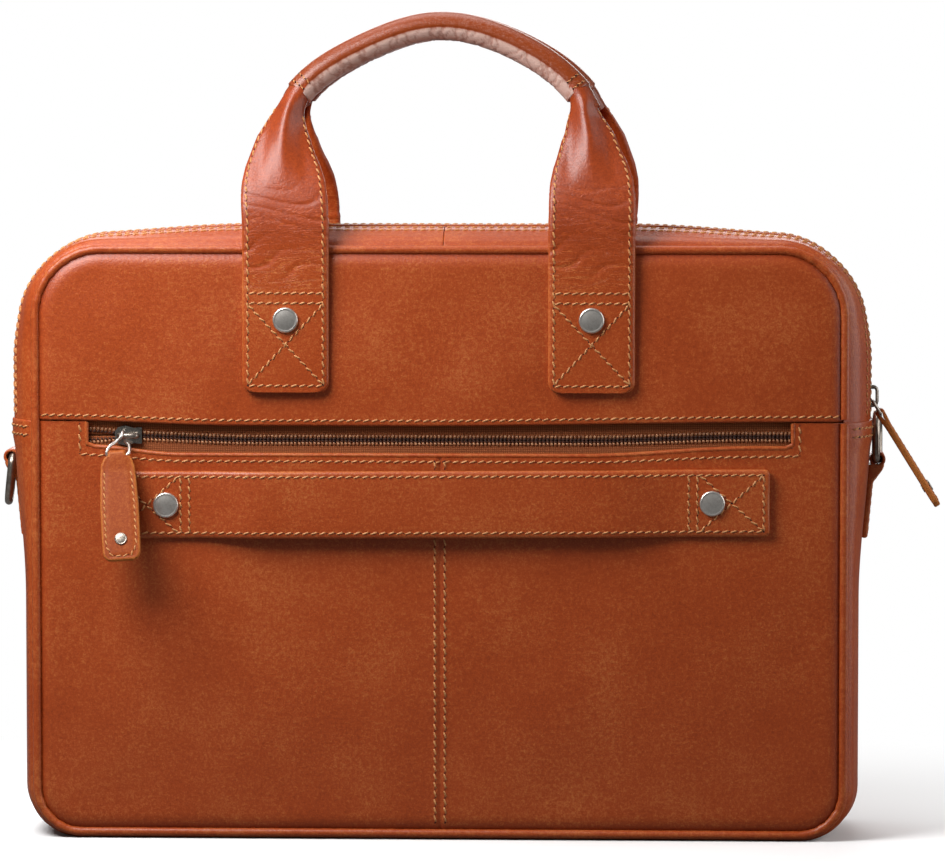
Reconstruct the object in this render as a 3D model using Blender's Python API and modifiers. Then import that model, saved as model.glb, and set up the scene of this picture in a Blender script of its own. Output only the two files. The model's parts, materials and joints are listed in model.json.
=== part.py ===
"""Leather laptop briefcase: two rolled handles, a zipped mouth and a zipped front pocket.

Metres, +Z up. The front faces -Y and the origin lies under the middle of the flat base.
"""

import math
from collections import namedtuple

import bmesh
import bpy
from mathutils import Matrix, Vector

MM = 0.001

# Case
RIM_WIDTH = 390 * MM  # between the centre lines of the piping, side to side
RIM_HEIGHT = 282.5 * MM  # between the centre lines of the piping, base to top
RIM_DEPTH = 76 * MM  # between the front and the back piping
RIM_RADIUS = 32 * MM  # corners of the piping
PIPING_RADIUS = 2.2 * MM
PANEL_LEATHER = 2.2 * MM
GUSSET_LEATHER = 2.0 * MM
GUSSET_STEP = 3.0 * MM  # edge of the gusset outside the piping's centre line
SIDE_BULGE = 5.5 * MM  # extra crown of the gusset low on the sides
ZIP_BULGE = 10.5 * MM  # and beside the main zip's ends
TOP_BULGE = 8.0 * MM  # and along the top
BULGE_POWER = 4
BULGE_START = 90 * MM  # height at which the sides begin to swell
SEAM_HEIGHT = 203 * MM  # yoke seam and main zip ends
YOKE_PROUD = 0.8 * MM  # yoke and back panel in front of the lower panels
SEWN_GAP = 0.3 * MM  # clearance between pieces that are sewn together
PLAY = 0.3 * MM  # clearance of pieces that move in each other

# Inside
LINING = 1.2 * MM
PADDING = 4.0 * MM
DIVIDER_THICKNESS = 5.0 * MM
DIVIDER_HEIGHT = 228 * MM
DIVIDER_Y = 7 * MM
BOARD_THICKNESS = 2.0 * MM
LINING_INSET = 4.0 * MM
LINING_GAP = 3.0 * MM  # lining of the yoke above the zip tape
POCKET_SLACK = 3.0 * MM

# Zips
TAPE_WIDTH = 9.0 * MM
TAPE_THICKNESS = 0.6 * MM
COIL_RADIUS = 1.1 * MM
COIL_SPACE = 1.8 * MM  # slit between the two coils
WINDOW_WIDTH = 339 * MM  # front zip opening
WINDOW_HEIGHT = 12.5 * MM
CHAIN_SETBACK = 1.2 * MM  # front chain behind the panel
CHAIN_DROP = 1.0 * MM  # and below the middle of its opening
MAIN_ZIP_Y = -11 * MM
MAIN_WINDOW = 13.0 * MM

# Zip sliders and pulls
SLIDER_LENGTH = 13.0 * MM
SLIDER_WIDTH = 9.5 * MM
SLIDER_PLATE = 1.0 * MM
BRIDGE_LENGTH = 9.0 * MM
BRIDGE_WIDTH = 1.8 * MM
BRIDGE_THICKNESS = 1.1 * MM
BRIDGE_GAP = 2.8 * MM
WIRE_RADIUS = 0.8 * MM
WIRE_PLAY = 0.4 * MM  # wire round its bridge
WIRE_SPAN = 13.2 * MM  # between the legs of the wire loop
WIRE_DROP = 8.7 * MM  # front bar below its bridge
MAIN_WIRE_REACH = 7.0 * MM  # main bar from its bridge
PULL_LENGTH = 54.5 * MM
PULL_TOP = 10 * MM
PULL_SHOULDER = 16 * MM
PULL_SHOULDER_DROP = 9 * MM
PULL_WIDTH = 17.6 * MM
PULL_CORNER = 5.0 * MM
PULL_LEAF = 1.7 * MM
PULL_RIVET_RISE = 10.5 * MM  # rivet above the pull's lower end
FRONT_SLIDER_X = -150 * MM
FRONT_PULL_LEAN = 20.0  # degrees
MAIN_SLIDER_RISE = 11 * MM  # slider centre above the seam
MAIN_PULL_LEAN = 32.0  # degrees

# Luggage strap
STRAP_LENGTH = 318 * MM
STRAP_WIDTH = 32.7 * MM
STRAP_DROP = 39.6 * MM  # middle of the strap below the seam
STRAP_THICKNESS = 3.6 * MM
STRAP_SEWN = 40 * MM  # length sewn down at each end
STRAP_STAND_OFF = 4.8 * MM  # middle of the strap in front of its sewn ends
STRAP_RIVET_X = 131.5 * MM

# Rivets
RIVET_CAP = 6.2 * MM
RIVET_CAP_HEIGHT = 2.2 * MM
RIVET_POST = 1.6 * MM
RIVET_BACK = 4.2 * MM
RIVET_BACK_HEIGHT = 0.8 * MM
SMALL_CAP = 3.0 * MM
SMALL_CAP_HEIGHT = 1.2 * MM
SMALL_POST = 1.0 * MM

# Handles
HANDLE_SPAN = 147 * MM  # between the centres of the two straps
HANDLE_WIDTH = 42 * MM
HANDLE_THICKNESS = 4.2 * MM
HANDLE_DROP = 21.5 * MM  # row where the strap bends below the rim
HANDLE_TAB = 46.8 * MM
HANDLE_TAB_CORNER = 5.0 * MM
HANDLE_RIVET_DROP = 12 * MM
HANDLE_STRAIGHT = 8.0 * MM  # upright run of the strap above the rim
NECK_LEAN = 4.5 * MM  # grip ends inside the strap's centre lines
GRIP_RADIUS = 7.0 * MM
GRIP_SKIN = 2.0 * MM
GRIP_TOP = 392.8 * MM
GRIP_RISE = 32.8 * MM
GRIP_SPREAD = 9.0 * MM  # grip's centre in front of or behind the middle
GRIP_LEAN = 0.26  # how far the handle leans for each unit of height

# D-rings
RING_Y = 12.5 * MM
RING_DROP = 21 * MM  # bar of the ring below the seam
RING_SPAN = 22 * MM
RING_REACH = 22.5 * MM
RING_WIRE = 2.0 * MM
RING_CORNER = 3.5 * MM
RING_SIDE = 10.5 * MM  # straight part of the sides
RING_HANG = 6.0  # degrees that a hanging ring stands off its tab
TAB_LEAF = 1.6 * MM
TAB_WIDTH = 17 * MM
TAB_LENGTH = 36 * MM

# Positions that follow from the sizes
RIM_HALF = RIM_WIDTH / 2
RIM_BOTTOM = GUSSET_STEP
RIM_TOP = RIM_BOTTOM + RIM_HEIGHT
RIM_Y = RIM_DEPTH / 2
GUSSET_Y = RIM_Y - PIPING_RADIUS - SEWN_GAP
PANEL_INSET = PIPING_RADIUS + SEWN_GAP
LOWER_FACE_Y = RIM_Y + PANEL_LEATHER
FACE_Y = RIM_Y + YOKE_PROUD + PANEL_LEATHER
CHAIN_Y = CHAIN_SETBACK - RIM_Y
CHAIN_Z = SEAM_HEIGHT - WINDOW_HEIGHT / 2 - CHAIN_DROP
STRAP_HEIGHT = SEAM_HEIGHT - STRAP_DROP
RING_HEIGHT = SEAM_HEIGHT - RING_DROP
HANDLE_HINGE = RIM_TOP - HANDLE_DROP
SLOT_HALF = COIL_RADIUS + PLAY
PLATE_TOP = SLOT_HALF + SLIDER_PLATE
BRIDGE_AXIS = PLATE_TOP + BRIDGE_GAP + BRIDGE_THICKNESS / 2
COIL_OFFSET = COIL_SPACE / 2 + COIL_RADIUS
MAIN_TAPE_DEPTH = GUSSET_LEATHER + 2 * SEWN_GAP
MAIN_CHAIN_DEPTH = MAIN_TAPE_DEPTH + TAPE_THICKNESS / 2
TAPE_START = COIL_OFFSET + COIL_RADIUS + SEWN_GAP
FLOOR = GUSSET_LEATHER + SEWN_GAP + BOARD_THICKNESS + SEWN_GAP
POCKET_LINING_Y = CHAIN_Y + PLATE_TOP + POCKET_SLACK
TAB_OUTER = RING_WIRE + PLAY + TAB_LEAF
PULL_OUTER = WIRE_RADIUS + PLAY + PULL_LEAF
PULL_THICKNESS = 2 * PULL_LEAF
GRIP_CHORD = HANDLE_SPAN / 2 - NECK_LEAN
GRIP_ARC = (GRIP_CHORD**2 + GRIP_RISE**2) / (2 * GRIP_RISE)
GRIP_CENTRE = GRIP_TOP - GRIP_ARC
GRIP_ANGLE = math.asin(GRIP_CHORD / GRIP_ARC)

CORNER_STEPS = 6
SHARP_ANGLE = 40  # degrees between faces that stay a visible edge
GRIP_STEPS = 16
COLUMNS = (-1.0, -0.9, -0.75, -0.55, -0.2, 0.2, 0.55, 0.75, 0.9, 1.0)

Finish = namedtuple("Finish", "name colour roughness metallic")
Station = namedtuple("Station", "x z out_x out_z bulge")

LEATHER = Finish("cognac_leather", "A9572B", 0.5, 0.0)
CLOTH = Finish("lining_cloth", "6E5238", 0.9, 0.0)
WEBBING = Finish("zip_tape", "3A2417", 0.85, 0.0)
NYLON = Finish("zip_coil", "7A4620", 0.5, 0.0)
NICKEL = Finish("antique_nickel", "6F6862", 0.35, 1.0)
BOARD = Finish("fibre_board", "8A7A62", 0.8, 0.0)
CORD = Finish("cotton_cord", "CDBFA3", 0.9, 0.0)


def clear_scene():
    """Leave an empty scene to build in."""
    for obj in list(bpy.data.objects):
        bpy.data.objects.remove(obj, do_unlink=True)


def new_collection(name, helper=False):
    """Add a collection to the scene."""
    made = bpy.data.collections.new(name)
    made.hide_render = helper
    bpy.context.scene.collection.children.link(made)
    return made


clear_scene()
PARTS = new_collection("leather_briefcase")
CUTTERS = new_collection("cutters", helper=True)


def linear(code):
    """Linear colour of a six-digit sRGB code."""
    values = [int(code[i : i + 2], 16) / 255 for i in (0, 2, 4)]
    return [v / 12.92 if v <= 0.04045 else ((v + 0.055) / 1.055) ** 2.4 for v in values]


def coat(obj, finish):
    """Give a piece its own material."""
    material = bpy.data.materials.new(f"{obj.name}_{finish.name}")
    material.use_nodes = True
    shader = material.node_tree.nodes["Principled BSDF"]
    shader.inputs["Base Color"].default_value = (*linear(finish.colour), 1.0)
    shader.inputs["Roughness"].default_value = finish.roughness
    shader.inputs["Metallic"].default_value = finish.metallic
    obj.data.materials.append(material)


def add(name, data, at, finish):
    """Put a piece in the scene, or a cutter when it has no finish."""
    obj = bpy.data.objects.new(name, data)
    (PARTS if finish else CUTTERS).objects.link(obj)
    obj.matrix_world = at
    if finish:
        coat(obj, finish)
    else:
        obj.hide_render = True
        obj.display_type = "WIRE"
    return obj


def frame(origin, x_axis, y_axis):
    """World matrix of a frame given by its origin and its first two axes."""
    across = Vector(x_axis).normalized()
    normal = across.cross(Vector(y_axis)).normalized()
    up = normal.cross(across)
    turn = Matrix((across, up, normal)).transposed().to_4x4()
    return Matrix.Translation(Vector(origin)) @ turn


def facing(y):
    """Frame of a piece that lies in an upright plane: x across, y up, z to the front."""
    return frame((0, y, 0), (1, 0, 0), (0, 0, 1))


def pivot(name, location, pieces):
    """Parent pieces to an empty that stands on their joint axis."""
    empty = bpy.data.objects.new(name, None)
    PARTS.objects.link(empty)
    empty.matrix_world = Matrix.Translation(Vector(location))
    for piece in pieces:
        piece.parent = empty
        piece.matrix_parent_inverse = empty.matrix_world.inverted()


def arc(centre, radius, start, end, steps=CORNER_STEPS):
    """Points of an arc between two angles in degrees, both ends included."""
    angles = [math.radians(start + (end - start) * k / steps) for k in range(steps + 1)]
    return [(centre[0] + radius * math.cos(a), centre[1] + radius * math.sin(a)) for a in angles]


def circle(centre, radius, steps=16):
    """Closed round outline."""
    return arc(centre, radius, 0, 360, steps)[:-1]


def rounded(left, right, bottom, top, low=0.0, high=0.0):
    """Rectangle whose lower and upper corners are rounded, or square at zero."""
    points = []
    for x, y, radius, angle in (
        (right, bottom, low, -90),
        (right, top, high, 0),
        (left, top, high, 90),
        (left, bottom, low, 180),
    ):
        side = 1 if x == right else -1
        rise = 1 if y == top else -1
        if radius:
            centre = (x - side * radius, y - rise * radius)
            points += arc(centre, radius, angle, angle + 90)
        else:
            points.append((x, y))
    return points


def plate(name, loops, thickness, at, finish):
    """Flat piece: the first outline is its edge and the others are holes."""
    curve = bpy.data.curves.new(name, "CURVE")
    curve.dimensions = "2D"
    curve.fill_mode = "BOTH"
    curve.extrude = thickness / 2
    for loop in loops:
        spline = curve.splines.new("POLY")
        spline.points.add(len(loop) - 1)
        spline.use_cyclic_u = True
        for point, (a, b) in zip(spline.points, loop):
            point.co = (a, b, 0, 1)
    return add(name, curve, at, finish)


def tube(name, points, radius, finish, at=Matrix.Identity(4), cyclic=False, sides=2):
    """Round rod along a path."""
    curve = bpy.data.curves.new(name, "CURVE")
    curve.dimensions = "3D"
    curve.bevel_depth = radius
    curve.bevel_resolution = sides
    curve.use_fill_caps = not cyclic
    spline = curve.splines.new("POLY")
    spline.points.add(len(points) - 1)
    spline.use_cyclic_u = cyclic
    for point, place in zip(spline.points, points):
        point.co = (*place, 1)
    return add(name, curve, at, finish)


def as_mesh(obj):
    """Replace a curve piece by its welded mesh in the same place."""
    bpy.context.view_layer.update()
    graph = bpy.context.evaluated_depsgraph_get()
    mesh = bpy.data.meshes.new_from_object(obj.evaluated_get(graph))
    welded = bmesh.new()
    welded.from_mesh(mesh)
    bmesh.ops.remove_doubles(welded, verts=welded.verts, dist=0.001 * MM)
    bmesh.ops.recalc_face_normals(welded, faces=welded.faces)
    welded.to_mesh(mesh)
    welded.free()
    name = obj.name
    place = obj.matrix_world.copy()
    group = obj.users_collection[0]
    hidden = obj.hide_render
    bpy.data.objects.remove(obj, do_unlink=True)
    made = bpy.data.objects.new(name, mesh)
    group.objects.link(made)
    made.matrix_world = place
    made.hide_render = hidden
    made.display_type = "WIRE" if hidden else "TEXTURED"
    return made


def combine(obj, tool, operation):
    """Boolean of a mesh piece with a helper mesh."""
    modifier = obj.modifiers.new(tool.name, "BOOLEAN")
    modifier.object = tool
    modifier.operation = operation
    modifier.solver = "EXACT"


def bore(obj, name, at, radius, depth):
    """Round hole through a mesh piece along the frame's z axis."""
    tool = as_mesh(plate(f"{name}_cutter", [circle((0, 0), radius)], depth, at, None))
    combine(obj, tool, "DIFFERENCE")


def loft(name, rings, finish):
    """Closed solid through a row of rings with equal point counts."""
    made = bmesh.new()
    loops = [[made.verts.new(point) for point in ring] for ring in rings]
    for near, far in zip(loops, loops[1:]):
        for k in range(len(near)):
            after = (k + 1) % len(near)
            made.faces.new((near[k], near[after], far[after], far[k]))
    made.faces.new(loops[0])
    made.faces.new(loops[-1])
    bmesh.ops.recalc_face_normals(made, faces=made.faces)
    mesh = bpy.data.meshes.new(name)
    made.to_mesh(mesh)
    made.free()
    mesh.shade_smooth()
    mesh.set_sharp_from_angle(angle=math.radians(SHARP_ANGLE))
    return add(name, mesh, Matrix.Identity(4), finish)


def ribbon(name, path, width, thickness, at, finish):
    """Strap that rises along z from an open path and is thickened towards -y."""
    made = bmesh.new()
    row = [made.verts.new((x, y, 0)) for x, y in path]
    for here, there in zip(row, row[1:]):
        made.edges.new((here, there))
    raised = bmesh.ops.extrude_edge_only(made, edges=list(made.edges))["geom"]
    top = [item for item in raised if isinstance(item, bmesh.types.BMVert)]
    bmesh.ops.translate(made, verts=top, vec=(0, 0, width))
    bmesh.ops.recalc_face_normals(made, faces=made.faces)
    made.normal_update()
    if next(iter(made.faces)).normal.y > 0:
        bmesh.ops.reverse_faces(made, faces=made.faces)
    mesh = bpy.data.meshes.new(name)
    made.to_mesh(mesh)
    made.free()
    obj = add(name, mesh, at, finish)
    skin = obj.modifiers.new("leather", "SOLIDIFY")
    skin.thickness = thickness
    skin.offset = 1
    skin.use_even_offset = True
    return obj


def turned(name, profile, at, finish, steps=16):
    """Piece turned round its z axis from a profile that runs down its outer side."""
    mesh = bpy.data.meshes.new(name)
    edges = [(k, k + 1) for k in range(len(profile) - 1)]
    mesh.from_pydata([(radius, 0, height) for radius, height in profile], edges, [])
    obj = add(name, mesh, at, finish)
    screw = obj.modifiers.new("turn", "SCREW")
    screw.axis = "Z"
    screw.steps = steps
    screw.render_steps = steps
    screw.use_merge_vertices = True
    screw.merge_threshold = 0.01 * MM
    return obj


def smooth(value):
    """Ease from 0 to 1."""
    value = min(max(value, 0.0), 1.0)
    return value * value * (3 - 2 * value)


def smooth_loop(points, steps=3):
    """Closed smooth curve through points."""
    places = [Vector(point) for point in points]
    count = len(places)
    made = []
    for k in range(count):
        before, here, there, after = (places[(k + i - 1) % count] for i in range(4))
        for step in range(steps):
            t = step / steps
            made.append(
                0.5
                * (
                    2 * here
                    + (there - before) * t
                    + (2 * before - 5 * here + 4 * there - after) * t**2
                    + (3 * here - before - 3 * there + after) * t**3
                )
            )
    return made


# Case shell


def side_bulge(z):
    """Crown of the gusset at a height on the side."""
    swell = smooth((z - BULGE_START) / (SEAM_HEIGHT - BULGE_START))
    return SIDE_BULGE + (ZIP_BULGE - SIDE_BULGE) * swell


def crown(y):
    """Share of the crown at a depth: flat in the middle, nothing at the edges."""
    share = y / GUSSET_Y
    for low, high in zip(COLUMNS, COLUMNS[1:]):
        if low <= share <= high:
            break
    rise_low, rise_high = (1 - abs(column) ** BULGE_POWER for column in (low, high))
    return rise_low + (rise_high - rise_low) * (share - low) / (high - low)


def gusset_face(z, y):
    """Half width of the case at a height on the side and a depth."""
    return RIM_HALF + GUSSET_STEP + side_bulge(z) * crown(y)


def upper_run(side, x_end=SEWN_GAP / 2, start=SEAM_HEIGHT + SEWN_GAP):
    """Stations from a side seam up and over to the middle of the top."""
    corner = RIM_TOP - RIM_RADIUS
    run = [Station(side * RIM_HALF, z, side, 0.0, ZIP_BULGE) for z in (start, corner)]
    for k in range(1, CORNER_STEPS + 1):
        share = k / CORNER_STEPS
        angle = share * math.pi / 2
        run.append(
            Station(
                side * (RIM_HALF - RIM_RADIUS + RIM_RADIUS * math.cos(angle)),
                corner + RIM_RADIUS * math.sin(angle),
                side * math.cos(angle),
                math.sin(angle),
                ZIP_BULGE + (TOP_BULGE - ZIP_BULGE) * smooth(share),
            )
        )
    run.append(Station(side * x_end, RIM_TOP, 0.0, 1.0, TOP_BULGE))
    return run


def whole_upper_run(start):
    """Stations over the whole top, from the left seam to the right."""
    return upper_run(-1, start=start)[:-1] + upper_run(1, start=start)[-2::-1]


def lower_run(side):
    """Stations from a side seam down and round to the middle of the base."""
    corner = RIM_BOTTOM + RIM_RADIUS
    top = SEAM_HEIGHT - SEWN_GAP
    drop = top - BULGE_START
    levels = [top, top - drop / 3, top - 2 * drop / 3, BULGE_START, corner]
    run = [Station(side * RIM_HALF, z, side, 0.0, side_bulge(z)) for z in levels]
    for k in range(1, CORNER_STEPS + 1):
        angle = k / CORNER_STEPS * math.pi / 2
        run.append(
            Station(
                side * (RIM_HALF - RIM_RADIUS + RIM_RADIUS * math.cos(angle)),
                corner - RIM_RADIUS * math.sin(angle),
                side * math.cos(angle),
                -math.sin(angle),
                SIDE_BULGE * (1 - smooth(k / CORNER_STEPS)),
            )
        )
    return run


def depths(start, end):
    """Columns of a gusset strip, closer together near the rounded edges."""
    grid = [GUSSET_Y * share for share in COLUMNS]
    return [start] + [y for y in grid if start + MM < y < end - MM] + [end]


def band(name, stations, start, end, inset, thickness, finish):
    """Strip along the rim between two depths, thickened inwards."""
    made = bmesh.new()
    rows = []
    for station in stations:
        row = []
        for y in depths(start, end):
            rise = GUSSET_STEP + station.bulge * crown(y) - inset
            place = (station.x + station.out_x * rise, y, station.z + station.out_z * rise)
            row.append(made.verts.new(place))
        rows.append(row)
    for near, far in zip(rows, rows[1:]):
        for k in range(len(near) - 1):
            made.faces.new((near[k], near[k + 1], far[k + 1], far[k]))
    made.normal_update()
    first = next(iter(made.faces))
    if first.normal.x * stations[0].out_x + first.normal.z * stations[0].out_z < 0:
        bmesh.ops.reverse_faces(made, faces=made.faces)
    mesh = bpy.data.meshes.new(name)
    made.to_mesh(mesh)
    made.free()
    mesh.shade_smooth()
    obj = add(name, mesh, Matrix.Identity(4), finish)
    shell = obj.modifiers.new("leather", "SOLIDIFY")
    shell.thickness = thickness
    shell.offset = -1
    shell.use_even_offset = True
    return obj


def rim_path(stations, y, rise):
    """Path along the rim at a depth, raised outwards."""
    return [(s.x + s.out_x * rise, y, s.z + s.out_z * rise) for s in stations]


def chain_path(stations, y):
    """Path of a main zip coil, below the gusset's face."""
    return [
        (s.x + s.out_x * rise, y, s.z + s.out_z * rise)
        for s in stations
        for rise in (GUSSET_STEP + s.bulge * crown(y) - MAIN_CHAIN_DEPTH,)
    ]


def build_gussets():
    """Gusset strips and the main zip set in them. Returns the pieces of the mouth flap."""
    low = lower_run(-1) + lower_run(1)[::-1]
    band("gusset_lower", low, -GUSSET_Y, GUSSET_Y, 0.0, GUSSET_LEATHER, LEATHER)
    front_edge = MAIN_ZIP_Y - MAIN_WINDOW / 2
    back_edge = MAIN_ZIP_Y + MAIN_WINDOW / 2
    flap = []
    for side, word in ((-1, "left"), (1, "right")):
        run = upper_run(side)
        strip = (run, -GUSSET_Y, front_edge, 0.0, GUSSET_LEATHER, LEATHER)
        flap.append(band(f"gusset_front_{word}", *strip))
        strip = (run, back_edge, GUSSET_Y, 0.0, GUSSET_LEATHER, LEATHER)
        band(f"gusset_back_{word}", *strip)
    ends = whole_upper_run(SEAM_HEIGHT + 2 * SEWN_GAP)
    for word, side in (("front", -1), ("back", 1)):
        near = MAIN_ZIP_Y + side * TAPE_START
        far = near + side * TAPE_WIDTH
        strip = (ends, min(near, far), max(near, far), MAIN_TAPE_DEPTH, TAPE_THICKNESS, WEBBING)
        tape = band(f"main_zip_tape_{word}", *strip)
        path = chain_path(ends, MAIN_ZIP_Y + side * COIL_OFFSET)
        coil = tube(f"main_zip_coil_{word}", path, COIL_RADIUS, NYLON, sides=1)
        if word == "front":
            flap += [tape, coil]
    return flap


def build_piping():
    """Piping round both rims. Returns the upper front run."""
    upper = rim_path(whole_upper_run(SEAM_HEIGHT + SEWN_GAP), -RIM_Y, 0.0)
    low = rim_path(lower_run(-1) + lower_run(1)[::-1], -RIM_Y, 0.0)
    ring = rim_path(upper_run(-1)[1:-1] + upper_run(1)[-2:0:-1], RIM_Y, 0.0)
    ring += rim_path(lower_run(1)[4:] + lower_run(-1)[:3:-1], RIM_Y, 0.0)
    tube("front_piping_lower", low, PIPING_RADIUS, LEATHER)
    tube("back_piping", ring, PIPING_RADIUS, LEATHER, cyclic=True)
    return tube("front_piping_upper", upper, PIPING_RADIUS, LEATHER)


def handle_holes():
    """Rivet holes of one handle."""
    height = HANDLE_HINGE - HANDLE_RIVET_DROP
    return [circle((side * HANDLE_SPAN / 2, height), RIVET_POST + PLAY) for side in (-1, 1)]


def build_panels():
    """Leather panels. Returns the yoke."""
    edge = RIM_HALF - PANEL_INSET
    radius = RIM_RADIUS - PANEL_INSET
    bottom = RIM_BOTTOM + PANEL_INSET
    top = RIM_TOP - PANEL_INSET
    middle = FACE_Y - PANEL_LEATHER / 2
    outline = rounded(-edge, edge, bottom, top, radius, radius)
    plate("back_panel", [outline] + handle_holes(), PANEL_LEATHER, facing(middle), LEATHER)
    outline = rounded(-edge, edge, SEAM_HEIGHT, top, 0.0, radius)
    yoke = plate("front_yoke", [outline] + handle_holes(), PANEL_LEATHER, facing(-middle), LEATHER)
    for side, word in ((-1, "left"), (1, "right")):
        sill = SEAM_HEIGHT - WINDOW_HEIGHT
        outline = arc((edge - radius, bottom + radius), radius, -90, 0)
        outline += [(edge, SEAM_HEIGHT - SEWN_GAP), (WINDOW_WIDTH / 2, SEAM_HEIGHT - SEWN_GAP)]
        outline += [(WINDOW_WIDTH / 2, sill), (SEWN_GAP / 2, sill), (SEWN_GAP / 2, bottom)]
        outline = [(side * x, z) for x, z in outline]
        hole = circle((side * STRAP_RIVET_X, STRAP_HEIGHT), RIVET_POST + PLAY)
        at = facing(PANEL_LEATHER / 2 - LOWER_FACE_Y)
        plate(f"front_panel_{word}", [outline, hole], PANEL_LEATHER, at, LEATHER)
    return yoke


def build_inside():
    """Linings, base board and divider. Returns the yoke's lining."""
    edge = RIM_HALF - LINING_INSET
    radius = RIM_RADIUS
    top = RIM_TOP - LINING_INSET
    half_width = RIM_HALF - RIM_RADIUS
    half_depth = GUSSET_Y - LINING_INSET
    board = rounded(-half_width, half_width, -half_depth, half_depth)
    height = GUSSET_LEATHER + SEWN_GAP + BOARD_THICKNESS / 2
    plate("base_board", [board], BOARD_THICKNESS, Matrix.Translation((0, 0, height)), BOARD)
    face = FACE_Y - PANEL_LEATHER - 2 * SEWN_GAP - RIVET_BACK_HEIGHT - SEWN_GAP
    bottom = RIM_BOTTOM + LINING_INSET
    outline = rounded(-edge, edge, bottom, top, radius, radius)
    plate("back_lining", [outline], PADDING, facing(face - PADDING / 2), CLOTH)
    outline = rounded(-edge, edge, bottom, SEAM_HEIGHT - SEWN_GAP, radius)
    plate("front_pocket_lining", [outline], LINING, facing(POCKET_LINING_Y + LINING / 2), CLOTH)
    wide = RIM_HALF + GUSSET_STEP + SIDE_BULGE - GUSSET_LEATHER - MM
    upper = FLOOR + DIVIDER_HEIGHT
    outline = rounded(-wide, wide, FLOOR, upper, RIM_RADIUS + LINING_INSET, LINING_INSET)
    plate("laptop_divider", [outline], DIVIDER_THICKNESS, facing(DIVIDER_Y), CLOTH)
    sill = SEAM_HEIGHT + TAPE_WIDTH + LINING_GAP
    outline = rounded(-edge, edge, sill, top, 0.0, radius)
    return plate("yoke_lining", [outline], LINING, facing(CHAIN_Y + MM + LINING / 2), CLOTH)


# Zips


def build_front_zip():
    """Tapes and coils of the front pocket."""
    half = WINDOW_WIDTH / 2
    for word, side in (("upper", 1), ("lower", -1)):
        near = CHAIN_Z + side * TAPE_START
        far = near + side * TAPE_WIDTH
        outline = rounded(-half - TAPE_WIDTH, half + TAPE_WIDTH, min(near, far), max(near, far))
        plate(f"front_zip_tape_{word}", [outline], TAPE_THICKNESS, facing(CHAIN_Y), WEBBING)
        height = CHAIN_Z + side * COIL_OFFSET
        ends = [(-half + MM, CHAIN_Y, height), (half - MM, CHAIN_Y, height)]
        tube(f"front_zip_coil_{word}", ends, COIL_RADIUS, NYLON, sides=1)


def slider(name, at):
    """Zip slider: two shaped plates on a neck, with a bridge for the pull. The neck is at -x."""
    half = SLIDER_LENGTH / 2
    wide = SLIDER_WIDTH / 2
    shape = [(-1.0, 0.42), (-0.78, 0.84), (-0.2, 1.0), (0.4, 0.78), (1.0, 0.84)]
    outline = [(half * x, -wide * y) for x, y in shape]
    outline += [(half * x, wide * y) for x, y in reversed(shape)]
    height = SLOT_HALF + SLIDER_PLATE / 2
    upper = at @ Matrix.Translation((0, 0, height))
    lower = at @ Matrix.Translation((0, 0, -height))
    body = as_mesh(plate(name, [outline], SLIDER_PLATE, upper, NICKEL))
    combine(body, as_mesh(plate(f"{name}_inner", [outline], SLIDER_PLATE, lower, None)), "UNION")
    thin = COIL_SPACE / 2 - PLAY
    neck = rounded(-0.9 * half, -0.4 * half, -thin, thin)
    depth = 2 * SLOT_HALF + SLIDER_PLATE
    combine(body, as_mesh(plate(f"{name}_neck", [neck], depth, at, None)), "UNION")
    reach = BRIDGE_LENGTH / 2
    inner = reach - BRIDGE_THICKNESS
    foot = PLATE_TOP - SLIDER_PLATE / 2
    ceiling = PLATE_TOP + BRIDGE_GAP
    bend = 1.5 * BRIDGE_THICKNESS
    spring = ceiling + BRIDGE_THICKNESS - bend
    arch = [(-reach, foot), (-inner, foot), (-inner, ceiling)]
    arch += [(inner, ceiling), (inner, foot), (reach, foot)]
    arch += arc((reach - bend, spring), bend, 0, 90, 3)
    arch += arc((bend - reach, spring), bend, 90, 180, 3)
    side = at @ frame((0, 0, 0), (1, 0, 0), (0, 0, 1))
    combine(body, as_mesh(plate(f"{name}_bridge", [arch], BRIDGE_WIDTH, side, None)), "UNION")
    return body


def folded_leaf(outer, left, right, length):
    """Side outline of a leaf folded over a bar at the origin, hanging down."""
    start = 360 - math.degrees(math.acos(left / outer))
    end = -math.degrees(math.acos(right / outer))
    return arc((0, 0), outer, start, end, 12) + [(right, -length), (left, -length)]


def pull(name, at):
    """Leather pull folded over the wire's bar, with its rivet. In its frame x is outwards and y up."""
    half = PULL_THICKNESS / 2
    side = [folded_leaf(PULL_OUTER, -half, half, PULL_LENGTH), circle((0, 0), WIRE_RADIUS + PLAY, 12)]
    tab = as_mesh(plate(f"{name}_tab", side, 2 * PULL_WIDTH, at, LEATHER))
    corner = PULL_WIDTH / 2 - PULL_CORNER
    edge = arc((corner, PULL_CORNER - PULL_LENGTH), PULL_CORNER, -90, 0)
    edge.append((PULL_SHOULDER / 2, -PULL_SHOULDER_DROP))
    edge += [(PULL_TOP / 2, -PULL_OUTER / 2), (PULL_TOP / 2, 2 * PULL_OUTER)]
    edge += [(-x, y) for x, y in reversed(edge)]
    face = at @ frame((0, 0, 0), (0, 0, 1), (0, 1, 0))
    outline = as_mesh(plate(f"{name}_outline", [edge], 6 * PULL_OUTER, face, None))
    combine(tab, outline, "INTERSECT")
    seat = at @ frame((half, PULL_RIVET_RISE - PULL_LENGTH, 0), (0, 1, 0), (0, 0, 1))
    bore(tab, f"{name}_bore", seat, SMALL_POST + PLAY, 4 * PULL_THICKNESS)
    stud = rivet(f"{name}_rivet", seat, PULL_THICKNESS, SMALL_CAP, SMALL_CAP_HEIGHT, SMALL_POST)
    return [tab, stud]


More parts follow.
